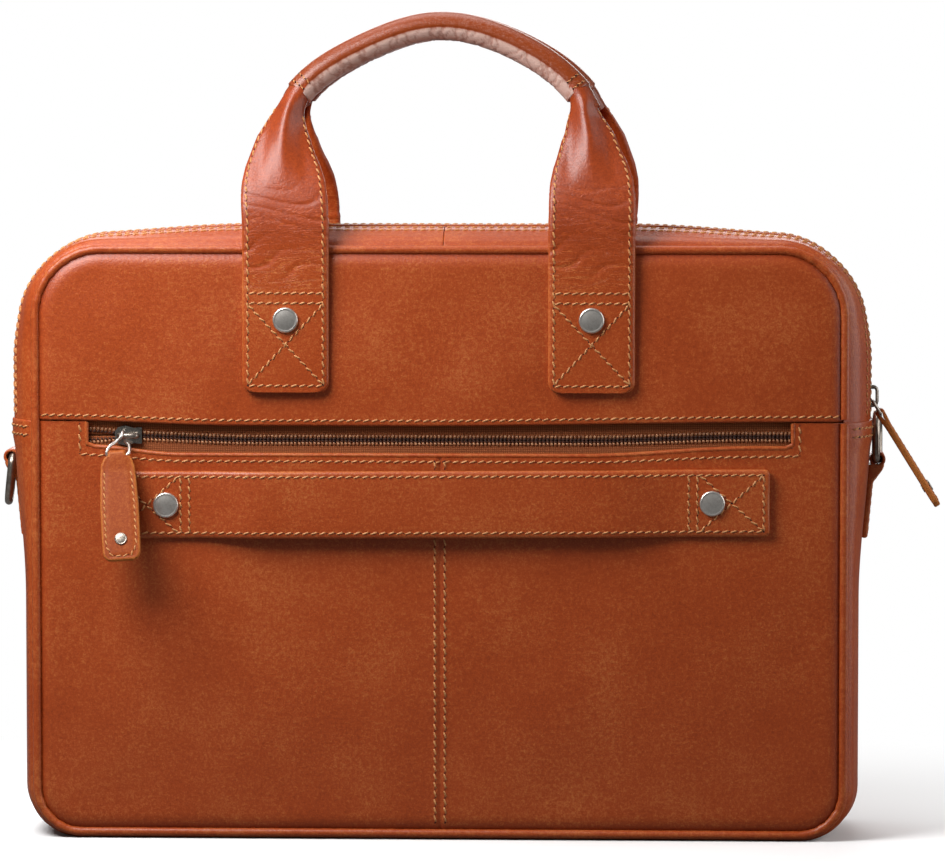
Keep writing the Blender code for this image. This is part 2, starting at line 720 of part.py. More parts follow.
def rivet(name, at, grip, cap=RIVET_CAP, height=RIVET_CAP_HEIGHT, post=RIVET_POST):
    """Domed rivet set through layers of a given total thickness. z = 0 is the outer layer's face."""
    seat = SEWN_GAP
    back = -grip - SEWN_GAP
    washer = RIVET_BACK * cap / RIVET_CAP
    profile = [
        (0, seat + height),
        (0.5 * cap, seat + 0.93 * height),
        (0.82 * cap, seat + 0.66 * height),
        (cap, seat + 0.25 * height),
        (cap, seat),
        (post, seat),
        (post, back),
        (washer, back),
        (washer, back - RIVET_BACK_HEIGHT),
        (0, back - RIVET_BACK_HEIGHT),
    ]
    return turned(name, profile, at, NICKEL)


def build_front_slider():
    """Front pocket slider with its pull hanging over the luggage strap."""
    at = frame((FRONT_SLIDER_X, CHAIN_Y, CHAIN_Z), (1, 0, 0), (0, 0, 1))
    body = slider("front_zip_slider", at)
    around = BRIDGE_WIDTH / 2 + WIRE_RADIUS + WIRE_PLAY
    lean = math.radians(FRONT_PULL_LEAN)
    strap_face = LOWER_FACE_Y + SEWN_GAP + STRAP_STAND_OFF + STRAP_THICKNESS
    fall = CHAIN_Z - WIRE_DROP - STRAP_HEIGHT - STRAP_WIDTH / 2
    bar = strap_face + CHAIN_Y + PLAY + PULL_LEAF / math.cos(lean) - fall * math.tan(lean)
    leg = WIRE_SPAN / 2
    knots = [
        (-0.8 * leg, -WIRE_DROP, bar),
        (0.0, -WIRE_DROP, bar),
        (0.8 * leg, -WIRE_DROP, bar),
        (leg, -0.84 * WIRE_DROP, 0.9 * bar + 0.1 * BRIDGE_AXIS),
        (0.8 * leg, -0.52 * WIRE_DROP, 0.35 * bar + 0.65 * BRIDGE_AXIS),
        (0.3 * leg, -1.15 * around, BRIDGE_AXIS - 0.55 * around),
        (0.1 * leg, 0.0, BRIDGE_AXIS - around),
        (0.0, around, BRIDGE_AXIS),
        (-0.1 * leg, 0.0, BRIDGE_AXIS + around),
        (-0.4 * leg, -1.15 * around, BRIDGE_AXIS + 1.1 * around),
        (-0.85 * leg, -0.52 * WIRE_DROP, 0.8 * bar + 0.2 * BRIDGE_AXIS),
        (-leg, -0.84 * WIRE_DROP, bar),
    ]
    loop = smooth_loop(knots)
    wire = tube("front_pull_wire", loop, WIRE_RADIUS, NICKEL, at, cyclic=True, sides=1)
    hang = Vector((0, math.sin(lean), math.cos(lean)))
    origin = at @ Vector((0, -WIRE_DROP, bar))
    tab = pull("front_pull", frame(origin, (0, -math.cos(lean), math.sin(lean)), hang))
    pivot("front_wire_pivot", at @ Vector((0, 0, BRIDGE_AXIS)), [wire])
    pivot("front_tab_pivot", origin, tab)
    pivot("front_slider_origin", at.translation, [body])


def build_main_slider():
    """Main zip slider low on the right side, with its pull standing out."""
    height = SEAM_HEIGHT + MAIN_SLIDER_RISE
    face = gusset_face(height, MAIN_ZIP_Y) - MAIN_CHAIN_DEPTH
    at = frame((face, MAIN_ZIP_Y, height), (0, 0, 1), (0, -1, 0))
    body = slider("main_zip_slider", at)
    low = BRIDGE_THICKNESS + WIRE_RADIUS + PLAY - BRIDGE_LENGTH / 2
    crown_at = at @ Vector((low, 0, PLATE_TOP + BRIDGE_GAP / 2))
    lean = math.radians(MAIN_PULL_LEAN)
    hang = Vector((-math.sin(lean), 0, math.cos(lean)))
    place = frame(crown_at, (math.cos(lean), 0, math.sin(lean)), hang)
    leg = WIRE_SPAN / 2
    reach = MAIN_WIRE_REACH
    knots = [
        (0, 0, -0.8 * leg),
        (0, 0, 0),
        (0, 0, 0.8 * leg),
        (0, -0.12 * reach, leg),
        (0, -0.5 * reach, leg),
        (0, -0.88 * reach, leg),
        (0, -reach, 0.8 * leg),
        (0, -reach, 0),
        (0, -reach, -0.8 * leg),
        (0, -0.88 * reach, -leg),
        (0, -0.5 * reach, -leg),
        (0, -0.12 * reach, -leg),
    ]
    loop = smooth_loop(knots)
    wire = tube("main_pull_wire", loop, WIRE_RADIUS, NICKEL, place, cyclic=True, sides=1)
    bar = place @ Matrix.Translation((0, -reach, 0))
    tab = pull("main_pull", bar)
    pivot("main_wire_pivot", crown_at, [wire])
    pivot("main_tab_pivot", bar.translation, tab)
    pivot("main_slider_origin", at.translation, [body])


# Straps, handles and rings


def build_luggage_strap():
    """Strap that is sewn and riveted at both ends and stands off the front between them."""
    half = STRAP_LENGTH / 2
    sewn = half - STRAP_SEWN
    back = -LOWER_FACE_Y - SEWN_GAP
    steps = 16
    places = [-half] + [sewn * (2 * k / steps - 1) for k in range(steps + 1)] + [half]
    rear = []
    for x in places:
        share = smooth(3 * (sewn - abs(x)) / sewn)
        rear.append((x, back - STRAP_STAND_OFF * share))
    at = Matrix.Translation((0, 0, STRAP_HEIGHT - STRAP_WIDTH / 2))
    strap = ribbon("luggage_strap", rear, STRAP_WIDTH, STRAP_THICKNESS, at, LEATHER)
    for side, word in ((-1, "left"), (1, "right")):
        place = (side * STRAP_RIVET_X, back - STRAP_THICKNESS, STRAP_HEIGHT)
        seat = frame(place, (1, 0, 0), (0, 0, 1))
        bore(strap, f"luggage_bore_{word}", seat, RIVET_POST + PLAY, 4 * STRAP_THICKNESS)
        rivet(f"luggage_rivet_{word}", seat, STRAP_THICKNESS + SEWN_GAP + PANEL_LEATHER)


def section(centre, along, width, thickness, power, steps=16):
    """Ring of a strap: a flat rounded bar at a high power, round at two."""
    upright = Vector(along).normalized()
    across = (Vector((1, 0, 0)) - upright * upright.x).normalized()
    deep = upright.cross(across)
    ring = []
    for k in range(steps):
        angle = 2 * math.pi * (k + 0.5) / steps
        a = math.copysign(abs(math.cos(angle)) ** (2 / power), math.cos(angle))
        b = math.copysign(abs(math.sin(angle)) ** (2 / power), math.sin(angle))
        ring.append(Vector(centre) + across * (a * width / 2) + deep * (b * thickness / 2))
    return ring


def grip_point(angle, front):
    """Place on a grip's centre line at an angle from its top."""
    z = GRIP_CENTRE + GRIP_ARC * math.cos(angle)
    y = front * (GRIP_SPREAD + (GRIP_TOP - z) * GRIP_LEAN)
    return Vector((GRIP_ARC * math.sin(angle), y, z))


def strap_neck(name, side, front):
    """Free strap: flat where it bends, folded into a roll where it meets the grip."""
    x = side * HANDLE_SPAN / 2
    y = front * (FACE_Y + SEWN_GAP + HANDLE_THICKNESS / 2)
    low = Vector((x, y, HANDLE_HINGE + SEWN_GAP))
    start = Vector((x, y, RIM_TOP + HANDLE_STRAIGHT))
    angle = side * GRIP_ANGLE
    joint = grip_point(angle, front)
    ahead = (grip_point(angle * (1 - 2 / GRIP_STEPS), front) - joint).normalized()
    end = joint - ahead * SEWN_GAP
    pace = (end - start).length
    rings = [section(low, (0, 0, 1), HANDLE_WIDTH, HANDLE_THICKNESS, 8)]
    steps = 9
    for k in range(steps + 1):
        t = k / steps
        h00, h10 = 2 * t**3 - 3 * t**2 + 1, t**3 - 2 * t**2 + t
        h01, h11 = 3 * t**2 - 2 * t**3, t**3 - t**2
        centre = start * h00 + Vector((0, 0, pace)) * h10 + end * h01 + ahead * pace * h11
        g00, g10 = 6 * t**2 - 6 * t, 3 * t**2 - 4 * t + 1
        g11 = 3 * t**2 - 2 * t
        along = (start - end) * g00 + Vector((0, 0, pace)) * g10 + ahead * pace * g11
        fold = smooth((t - 0.3) / 0.62)
        width = HANDLE_WIDTH + (2 * GRIP_RADIUS - HANDLE_WIDTH) * fold
        thick = HANDLE_THICKNESS + (2 * GRIP_RADIUS - HANDLE_THICKNESS) * fold
        rings.append(section(centre, along, width, thick, 2 + 6 * (1 - fold)))
    return loft(name, rings, LEATHER)


def build_handle(word, front):
    """One handle. Returns its sewn tabs with their rivets, and its moving pieces."""
    name = f"{word}_handle"
    hinge = front * (FACE_Y + SEWN_GAP + HANDLE_THICKNESS)
    sewn = []
    moving = []
    for side, hand in ((-1, "left"), (1, "right")):
        x = side * HANDLE_SPAN / 2
        height = HANDLE_HINGE - HANDLE_RIVET_DROP
        left, right = x - HANDLE_WIDTH / 2, x + HANDLE_WIDTH / 2
        low = HANDLE_HINGE - HANDLE_TAB
        outline = rounded(left, right, low, HANDLE_HINGE - SEWN_GAP, HANDLE_TAB_CORNER)
        hole = circle((x, height), RIVET_POST + PLAY)
        at = facing(hinge - front * HANDLE_THICKNESS / 2)
        sewn.append(plate(f"{name}_tab_{hand}", [outline, hole], HANDLE_THICKNESS, at, LEATHER))
        seat = frame((x, hinge, height), (-front, 0, 0), (0, 0, 1))
        grip = HANDLE_THICKNESS + SEWN_GAP + PANEL_LEATHER
        sewn.append(rivet(f"{name}_rivet_{hand}", seat, grip))
        moving.append(strap_neck(f"{name}_strap_{hand}", side, front))
    angles = [GRIP_ANGLE * (2 * k / GRIP_STEPS - 1) for k in range(GRIP_STEPS + 1)]
    path = [grip_point(angle, front) for angle in angles]
    sleeve = tube(f"{name}_grip", path, GRIP_RADIUS, LEATHER, sides=3)
    sleeve.data.use_fill_caps = False
    sleeve = as_mesh(sleeve)
    skin = sleeve.modifiers.new("leather", "SOLIDIFY")
    skin.thickness = GRIP_SKIN
    skin.offset = -1
    core = GRIP_RADIUS - GRIP_SKIN - 2 * SEWN_GAP
    moving += [sleeve, tube(f"{name}_core", path, core, CORD)]
    pivot(f"{name}_hinge", (0, hinge, HANDLE_HINGE), moving)
    return sewn


def ring_outline():
    """Centre line of a D-ring: its bar lies on y = 0."""
    half = RING_SPAN / 2
    inner = half - RING_CORNER
    points = arc((inner, RING_CORNER), RING_CORNER, -90, 0, 4)
    for k in range(13):
        angle = math.pi * k / 12
        rise = RING_SIDE + (RING_REACH - RING_SIDE) * math.sin(angle)
        points.append((half * math.cos(angle), rise))
    points += arc((-inner, RING_CORNER), RING_CORNER, 180, 270, 4)
    return points


def build_rings():
    """D-rings in folded tabs on the gusset: the left one hangs and the right one stands."""
    for side, word in ((-1, "left"), (1, "right")):
        face = gusset_face(RING_HEIGHT, RING_Y - TAB_WIDTH / 2) + SEWN_GAP + TAB_OUTER
        centre = (side * face, RING_Y, RING_HEIGHT)
        outline = folded_leaf(TAB_OUTER, -TAB_OUTER, 2 * TAB_LEAF - TAB_OUTER, TAB_LENGTH)
        hole = circle((0, 0), RING_WIRE + PLAY, 16)
        at = frame(centre, (1, 0, 0), (0, 0, 1))
        loops = [[(side * a, b) for a, b in loop] for loop in (outline, hole)]
        plate(f"ring_tab_{word}", loops, TAB_WIDTH, at, LEATHER)
        tilt = math.radians(RING_HANG)
        reach = (0, 0, 1) if side > 0 else (-math.sin(tilt), 0, -math.cos(tilt))
        path = [(a, b, 0) for a, b in ring_outline()]
        place = frame(centre, (0, 1, 0), reach)
        ring = tube(f"{word}_ring", path, RING_WIRE, NICKEL, place, cyclic=True)
        pivot(f"{word}_ring_pivot", centre, [ring])


def build():
    """Assemble the briefcase."""
    flap = build_gussets()
    flap.append(build_piping())
    flap.append(build_panels())
    flap.append(build_inside())
    build_front_zip()
    build_front_slider()
    build_main_slider()
    build_luggage_strap()
    flap += build_handle("front", -1)
    build_handle("back", 1)
    build_rings()
    pivot("mouth_hinge", (0, -FACE_Y, SEAM_HEIGHT), flap)


build()
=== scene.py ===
"""Looks of the leather briefcase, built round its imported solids.

Metres, +Z up and the front towards -Y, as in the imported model.
"""

import json
import logging
import math
from dataclasses import dataclass, field
from enum import Enum
from typing import Any, Callable, Sequence

import bmesh
import bpy
import numpy as np
from mathutils import Matrix, Vector

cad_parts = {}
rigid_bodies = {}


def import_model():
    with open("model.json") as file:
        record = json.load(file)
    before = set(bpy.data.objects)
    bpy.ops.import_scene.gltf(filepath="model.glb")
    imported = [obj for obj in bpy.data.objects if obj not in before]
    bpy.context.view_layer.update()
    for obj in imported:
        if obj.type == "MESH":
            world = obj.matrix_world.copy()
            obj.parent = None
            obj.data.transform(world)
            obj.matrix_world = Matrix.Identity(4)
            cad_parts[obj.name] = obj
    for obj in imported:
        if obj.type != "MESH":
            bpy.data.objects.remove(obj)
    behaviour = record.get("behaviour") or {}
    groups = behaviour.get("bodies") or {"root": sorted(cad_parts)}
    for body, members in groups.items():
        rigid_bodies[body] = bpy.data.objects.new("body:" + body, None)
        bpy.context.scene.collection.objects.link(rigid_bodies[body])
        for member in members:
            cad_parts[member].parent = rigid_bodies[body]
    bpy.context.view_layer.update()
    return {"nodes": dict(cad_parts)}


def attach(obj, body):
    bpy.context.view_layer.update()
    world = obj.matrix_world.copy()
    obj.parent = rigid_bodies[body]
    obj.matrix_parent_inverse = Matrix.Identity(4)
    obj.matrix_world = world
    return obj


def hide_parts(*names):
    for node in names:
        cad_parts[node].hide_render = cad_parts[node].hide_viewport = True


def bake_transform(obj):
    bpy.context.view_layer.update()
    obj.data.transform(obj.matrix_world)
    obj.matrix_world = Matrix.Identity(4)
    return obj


LOG = logging.getLogger("briefcase")
MM = 0.001
HANDS = ((-1, "left"), (1, "right"))

for leftover in list(bpy.data.objects):
    bpy.data.objects.remove(leftover, do_unlink=True)
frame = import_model()

Array = np.ndarray
Surface = Callable[[Array, Array], Array]
Mesh = tuple[Array, list]


# Finishes


def linear(code: str) -> tuple[float, float, float, float]:
    """Turn a six-digit sRGB code into a linear colour.

    Args:
        code: Six hexadecimal digits.

    Returns:
        Linear red, green and blue, and an alpha of one.
    """
    values = [int(code[i : i + 2], 16) / 255 for i in (0, 2, 4)]
    red, green, blue = (v / 12.92 if v <= 0.04045 else ((v + 0.055) / 1.055) ** 2.4 for v in values)
    return red, green, blue, 1.0


def fill(tree: Any, node: Any, inputs: dict) -> None:
    """Set inputs of a node.

    Args:
        tree: Node tree that it is in.
        node: The node.
        inputs: Values or output sockets, by the input's name or number.
    """
    for key, value in inputs.items():
        if isinstance(value, bpy.types.NodeSocket):
            tree.links.new(value, node.inputs[key])
        else:
            node.inputs[key].default_value = value


def add_node(tree: Any, kind: str, inputs: dict | None = None, **settings: Any) -> Any:
    """Add a shader node.

    Args:
        tree: Node tree to add it to.
        kind: Blender's type name of the node, without the word ShaderNode before it.
        inputs: Values or output sockets, by the input's name or number.
        settings: Properties of the node.

    Returns:
        The new node.
    """
    made = tree.nodes.new(f"ShaderNode{kind}")
    for key, value in settings.items():
        setattr(made, key, value)
    fill(tree, made, inputs or {})
    return made


def ramp(tree: Any, factor: Any, stops: Sequence[tuple[float, str]]) -> Any:
    """Add a colour ramp.

    Args:
        tree: Node tree to add it to.
        factor: Output socket that drives it.
        stops: Positions with their sRGB codes.

    Returns:
        The ramp's colour output.
    """
    made = add_node(tree, "ValToRGB", {"Fac": factor})
    band = made.color_ramp
    while len(band.elements) < len(stops):
        band.elements.new(0.5)
    for element, (place, code) in zip(band.elements, stops):
        element.position = place
        element.color = linear(code)
    return made.outputs["Color"]


def new_material(name: str) -> tuple[Any, Any, Any]:
    """Start a material.

    Args:
        name: Name of the material.

    Returns:
        The material, its node tree and its shader.
    """
    material = bpy.data.materials.new(name)
    material.use_nodes = True
    tree = material.node_tree
    return material, tree, tree.nodes["Principled BSDF"]


def combine(tree: Any, operation: str, *values: Any) -> Any:
    """Add a math node.

    Args:
        tree: Node tree to add it to.
        operation: Blender's name of the operation.
        values: Numbers or output sockets, in the order of its inputs.

    Returns:
        The node's output.
    """
    return add_node(tree, "Math", dict(enumerate(values)), operation=operation).outputs[0]


def object_place(tree: Any) -> Any:
    """Add coordinates that stay with the piece, and return their output."""
    return add_node(tree, "TexCoord").outputs["Object"]


def stretched(tree: Any, place: Any, sizes: Sequence[float]) -> Any:
    """Scale coordinates to a given unit along each axis, and return their output."""
    inputs = {"Vector": place, "Scale": [1 / size for size in sizes]}
    return add_node(tree, "Mapping", inputs).outputs[0]


def noise(tree: Any, place: Any, size: float, detail: float, rough: float = 0.5, wave: float = 0.0) -> Any:
    """Add a noise pattern.

    Args:
        tree: Node tree to add it to.
        place: Coordinate output.
        size: Size of its lumps.
        detail: Levels of finer lumps in it.
        rough: How strong the finer lumps are.
        wave: How much it is distorted.

    Returns:
        The pattern's output.
    """
    inputs = {"Vector": place, "Scale": 1 / size, "Detail": detail, "Roughness": rough, "Distortion": wave}
    return add_node(tree, "TexNoise", inputs).outputs["Fac"]


def emboss(tree: Any, height: Any, strength: float, depth: float) -> Any:
    """Add the relief of a height pattern, and return its normal."""
    return add_node(tree, "Bump", {"Height": height, "Strength": strength, "Distance": depth}).outputs[0]


def between(tree: Any, pattern: Any, low: float, high: float) -> Any:
    """Spread a pattern from a low to a high value, and return its output."""
    return add_node(tree, "MapRange", {"Value": pattern, "To Min": low, "To Max": high}).outputs[0]


class Finish:
    """A surface finish whose material is made once."""

    made: dict = {}

    def material(self) -> Any:
        """Give the material, made at its first use."""
        key = repr(self)
        if key not in Finish.made:
            Finish.made[key] = self.build()
        return Finish.made[key]

    def build(self) -> Any:
        """Make the material."""
        raise NotImplementedError


@dataclass(frozen=True)
class WaxedLeather(Finish):
    """Cowhide, tanned with bark, dyed in the drum and waxed by hand.

    The dye takes unevenly, so the colour drifts in clouds, the grain shows as fine pores, the wax
    gives a satin gloss, and rubbed edges turn paler than the face.
    """

    name: str = "waxed_cowhide"
    deep: str = "742606"
    mid: str = "A04114"
    worn_and_sheen: str = "C97A40"
    cloud: float = 46 * MM
    speck: float = 1.7 * MM
    fleck: float = 0.75 * MM
    streak: tuple = (9 * MM, 9 * MM, 1.3 * MM)
    pore: float = 1.1 * MM
    crease: float = 0.0
    crease_length: float = 22 * MM
    crease_spacing: float = 3.6 * MM
    mottle: float = 1.0
    relief: float = 0.45
    shine: float = 0.46
    roughness: float = 0.4

    def build(self) -> Any:
        """Make the material.

        Returns:
            The finished material.
        """
        material, tree, shader = new_material(self.name)
        place = object_place(tree)
        cloud = noise(tree, place, self.cloud, 4.0, 0.6)
        speck = noise(tree, place, self.speck, 3.0, 0.65)
        fleck = noise(tree, place, self.fleck, 2.0, 0.6)
        lines = noise(tree, stretched(tree, place, self.streak), 1.0, 2.0, 0.6, 0.5)
        # The tone attribute holds rubbed edges, and the painted shade and highlight that the pieces set.
        share = add_node(tree, "Attribute", attribute_name="tone").outputs["Fac"]
        for pattern, weight in ((cloud, 0.4), (speck, 0.6), (fleck, 0.55), (lines, 0.14)):
            centred = combine(tree, "SUBTRACT", pattern, 0.5)
            share = combine(tree, "MULTIPLY_ADD", centred, weight * self.mottle, share)
        share = combine(tree, "ADD", share, 0.5)
        height = self.grain(tree, place, speck)
        if self.crease:
            bent = self.creases(tree, place)
            share = combine(tree, "MULTIPLY_ADD", bent, 0.6 * self.crease, share)
            height = combine(tree, "MULTIPLY_ADD", bent, -1.6 * self.crease, height)
        look = {
            "Base Color": ramp(tree, share, [(0.0, self.deep), (0.5, self.mid), (1.0, self.worn_and_sheen)]),
            "Normal": emboss(tree, height, self.relief, 0.25 * MM),
            "Roughness": between(tree, cloud, self.roughness - 0.07, self.roughness + 0.07),
            "IOR": 1.45,
            "Specular IOR Level": self.shine,
            "Coat Weight": 0.06,
            "Coat Roughness": 0.25,
        }
        fill(tree, shader, look)
        return material

    def grain(self, tree: Any, place: Any, speck: Any) -> Any:
        """Add the height of the pores, drawn a little coarse so that they show, and return it."""
        inputs = {"Vector": place, "Scale": 1 / self.pore, "Randomness": 0.9}
        cells = add_node(tree, "TexVoronoi", inputs, feature="F1")
        return combine(tree, "MULTIPLY_ADD", cells.outputs["Distance"], 0.5, speck)

    def creases(self, tree: Any, place: Any) -> Any:
        """Add thin broken lines across a strap where it was bent.

        Args:
            tree: Node tree to add them to.
            place: Coordinate output.

        Returns:
            Output that is one on a crease.
        """
        sizes = (self.crease_length, self.crease_length, self.crease_spacing)
        pattern = noise(tree, stretched(tree, place, sizes), 1.0, 2.0, 0.55, 1.6)
        off = combine(tree, "ABSOLUTE", combine(tree, "SUBTRACT", pattern, 0.5))
        inputs = {"Value": off, "From Min": 0.0, "From Max": 0.03, "To Min": 1.0, "To Max": 0.0}
        line = add_node(tree, "MapRange", inputs).outputs[0]
        mask = add_node(tree, "Attribute", attribute_name="bent").outputs["Fac"]
        return combine(tree, "MULTIPLY", line, mask)


@dataclass(frozen=True)
class BondedThread(Finish):
    """Twisted polyester sewing thread, bonded with wax: matt, with a soft light along each stitch."""

    name: str = "bonded_polyester_thread"
    dark: str = "9C5F2C"
    light: str = "D79A60"
    ply: float = 0.9 * MM

    def build(self) -> Any:
        """Make the material."""
        material, tree, shader = new_material(self.name)
        strands = noise(tree, object_place(tree), self.ply, 2.0)
        colour = ramp(tree, strands, [(0.25, self.dark), (0.75, self.light)])
        normal = emboss(tree, strands, 0.4, 0.1 * MM)
        fill(tree, shader, {"Base Color": colour, "Normal": normal, "Roughness": 0.62})
        return material


@dataclass(frozen=True)
class WovenCloth(Finish):
    """Plain-woven cloth: crossing threads that catch the light in a fine check, and no gloss."""

    name: str
    dark: str
    light: str
    thread: float = 0.6 * MM
    roughness: float = 0.85

    def build(self) -> Any:
        """Make the material."""
        material, tree, shader = new_material(self.name)
        scale = 1 / (self.thread * 2 * math.pi)
        inputs = {"Vector": object_place(tree), "Scale": scale, "Distortion": 0.6, "Detail": 1.0}
        warp = add_node(tree, "TexWave", inputs, bands_direction="X").outputs["Fac"]
        weft = add_node(tree, "TexWave", inputs, bands_direction="Z").outputs["Fac"]
        weave = combine(tree, "MULTIPLY", warp, weft)
        colour = ramp(tree, weave, [(0.0, self.dark), (0.8, self.light)])
        normal = emboss(tree, weave, 0.5, 0.2 * MM)
        fill(tree, shader, {"Base Color": colour, "Normal": normal, "Roughness": self.roughness})
        shader.inputs["Specular IOR Level"].default_value = 0.2
        return material


@dataclass(frozen=True)
class MouldedNylon(Finish):
    """Extruded nylon of a zip coil: evenly dyed, with a satin shine on each turn."""

    name: str
    dark: str
    light: str
    roughness: float = 0.4
    patch: float = 2.4 * MM

    def build(self) -> Any:
        """Make the material."""
        material, tree, shader = new_material(self.name)
        dye = noise(tree, object_place(tree), self.patch, 2.0)
        colour = ramp(tree, dye, [(0.3, self.dark), (0.7, self.light)])
        fill(tree, shader, {"Base Color": colour, "Roughness": self.roughness})
        return material


@dataclass(frozen=True)
class PlatedMetal(Finish):
    """Zinc casting, plated with nickel, darkened and tumbled: grey, satin, dark where it isn't rubbed."""

    name: str
    dark: str
    light: str
    patch: float = 2.6 * MM
    roughness: float = 0.34

    def build(self) -> Any:
        """Make the material."""
        material, tree, shader = new_material(self.name)
        patch = noise(tree, object_place(tree), self.patch, 5.0, 0.7)
        look = {
            "Base Color": ramp(tree, patch, [(0.3, self.dark), (0.68, self.light)]),
            "Normal": emboss(tree, patch, 0.08, 0.1 * MM),
            "Roughness": between(tree, patch, self.roughness + 0.12, self.roughness - 0.08),
            "Metallic": 1.0,
        }
        fill(tree, shader, look)
        return material


@dataclass(frozen=True)
class NeedleHole(Finish):
    """Pricked leather: a hole too deep to see into, so it reads nearly black."""

    name: str = "pricked_hole"

    def build(self) -> Any:
        """Make the material."""
        material, tree, shader = new_material(self.name)
        fill(tree, shader, {"Base Color": linear("2A0F05"), "Roughness": 0.9})
        return material


BODY_LEATHER = WaxedLeather()
STRAP_LEATHER = WaxedLeather(name="waxed_cowhide_strap", crease=0.34, roughness=0.38)
# Its pale end colour is the inner band's lighter leather and a painted reflection on the underside.
GRIP_LEATHER = WaxedLeather(
    name="waxed_cowhide_rolled", deep="5A2006", mid="80350F", worn_and_sheen="C2A094", mottle=0.4, roughness=0.3
)
PULL_LEATHER = WaxedLeather(
    name="waxed_cowhide_pull",
    deep="5E2607",
    mid="903D0D",
    worn_and_sheen="BC7034",
    crease=0.12,
    crease_length=5 * MM,
    crease_spacing=4 * MM,
    mottle=0.9,
    relief=0.03,
    shine=0.2,
    roughness=0.55,
)
THREAD = BondedThread()
HOLE = NeedleHole()
LINING = WovenCloth("cotton_twill_lining", "4E3824", "7C6044", 0.9 * MM)
TAPE = WovenCloth("polyester_zip_tape", "7A3E20", "B06840", 0.45 * MM, 0.9)
PALE_COIL = MouldedNylon("nylon_coil_tan", "8A5230", "C08A62")
# Darker copy of the coil nylon: painted shade where the two halves of a coil meet.
SHADE_COIL = MouldedNylon("nylon_coil_painted_shade", "2C130A", "4E2816", 0.8)
NICKEL = PlatedMetal("antique_nickel", "C4BCB4", "ECE7E0")
PEWTER = PlatedMetal("antique_pewter", "7A7067", "B5AA9F", roughness=0.3)
GUNMETAL = PlatedMetal("antique_gunmetal", "77716A", "BDB6AE", roughness=0.24)
BOARD = WovenCloth("pressed_fibre_board", "6E5F49", "96866C", 1.6 * MM)


# Mesh tools


def smooth(value: Any) -> Any:
    """Ease from 0 to 1, for a number or an array."""
    value = np.clip(value, 0.0, 1.0)
    return value * value * (3 - 2 * value)


def bell(offset: Any, width: float) -> Any:
    """Give one where an offset is zero, falling off over a width on both sides."""
    return np.exp(-((offset / width) ** 2))


def corner_steps(radius: float, count: int) -> Array:
    """Give places from an edge to the end of its round corner, at equal turns."""
    return radius * (1 - np.cos(np.linspace(0, math.pi / 2, count)))


def spaced(low: float, high: float, step: float, edge: float = 0.0) -> Array:
    """Give places from low to high, closer together near both ends.

    Args:
        low: First place.
        high: Last place.
        step: Usual spacing.
        edge: Radius of the rounded edges, or zero for even spacing.

    Returns:
        The places in order.
    """
    count = max(2, round((high - low - 2 * edge) / step) + 1)
    inner = np.linspace(low + edge, high - edge, count)
    if not edge:
        return inner
    near = edge * np.array([0.0, 0.06, 0.22, 0.55])
    return np.concatenate([low + near, inner, high - near[::-1]])


def unit(vectors: Array) -> Array:
    """Scale vectors to length one."""
    return vectors / np.maximum(np.linalg.norm(vectors, axis=-1, keepdims=True), 1e-12)


def carried(points: Array, place: Matrix) -> Array:
    """Move points from a frame to the world."""
    matrix = np.array(place)
    return np.asarray(points) @ matrix[:3, :3].T + matrix[:3, 3]


def lengths_along(points: Array) -> Array:
    """Give the length of a path up to each of its points."""
    return np.insert(np.cumsum(np.linalg.norm(np.diff(points, axis=0), axis=1)), 0, 0.0)


def sampled(places: Array, lengths: Array, values: Array) -> Array:
    """Give rows of values at places along a path, between the lengths where they are known."""
    return np.stack([np.interp(places, lengths, column) for column in values.T], -1)


def rounded(gap: Any, radius: Any) -> Any:
    """Give how far a rounded edge falls away at a distance from it."""
    lack = np.clip(radius - gap, 0.0, radius)
    return radius - np.sqrt(np.maximum(radius**2 - lack**2, 0.0))


def repeated(values: Array, count: int) -> Array:
    """Give a grid with a value in each row, the same in all its columns."""
    return np.broadcast_to(values[:, None], (len(values), count))


def edge_gap(points: Array, ends: bool, sides: bool) -> Array:
    """Give the distance from each point of a grid to its nearest edge.

    Args:
        points: Points by row and column.
        ends: Whether the first and last rows are edges.
        sides: Whether the first and last columns are edges.

    Returns:
        Distances by row and column.
    """
    gap = np.full(points.shape[:2], np.inf)
    for axis, wanted in enumerate((ends, sides)):
        if wanted:
            steps = np.linalg.norm(np.diff(points, axis=axis), axis=2)
            run = np.insert(np.cumsum(steps, axis=axis), 0, 0.0, axis=axis)
            gap = np.minimum(gap, np.minimum(run, np.take(run, [-1], axis=axis) - run))
    return gap


def slab(front: Array, back: Array) -> Mesh:
    """Close two grids into a solid.

    Args:
        front: Points of the outer face, by row and column.
        back: Points of the inner face.

    Returns:
        Vertices and faces.
    """
    rows, columns = front.shape[:2]
    size = rows * columns
    index = np.arange(size).reshape(rows, columns)
    quads = np.stack([index[:-1, :-1], index[:-1, 1:], index[1:, 1:], index[1:, :-1]], -1)
    quads = quads.reshape(-1, 4)
    border = np.concatenate([index[0], index[1:, -1], index[-1, -2::-1], index[-2:0:-1, 0]])
    after = np.roll(border, -1)
    rim = np.stack([after, border, border + size, after + size], -1)
    faces = np.concatenate([quads, quads[:, ::-1] + size, rim])
    return np.concatenate([front.reshape(-1, 3), back.reshape(-1, 3)]), faces.tolist()


def sheet(
    points: Array,
    thickness: Any,
    flip: bool = False,
    ends: bool = True,
    sides: bool = True,
    rounding: float = 0.46,
) -> Mesh:
    """Make a leather or cloth piece with rounded edges from its outer face.

    Args:
        points: Outer face, by row and column.
        thickness: Thickness of the piece, one number or a column with one for each row.
        flip: Whether rows crossed with columns point inwards.
        ends: Whether the first and last rows are rounded.
        sides: Whether the first and last columns are rounded.
        rounding: Radius of the rounded edges, as a share of the thickness.

    Returns:
        Vertices and faces.
    """
    normal = unit(np.cross(np.gradient(points, axis=0), np.gradient(points, axis=1)))
    normal = -normal if flip else normal
    drop = rounded(edge_gap(points, ends, sides), rounding * thickness)
    return slab(points - normal * drop[..., None], points - normal * (thickness - drop)[..., None])


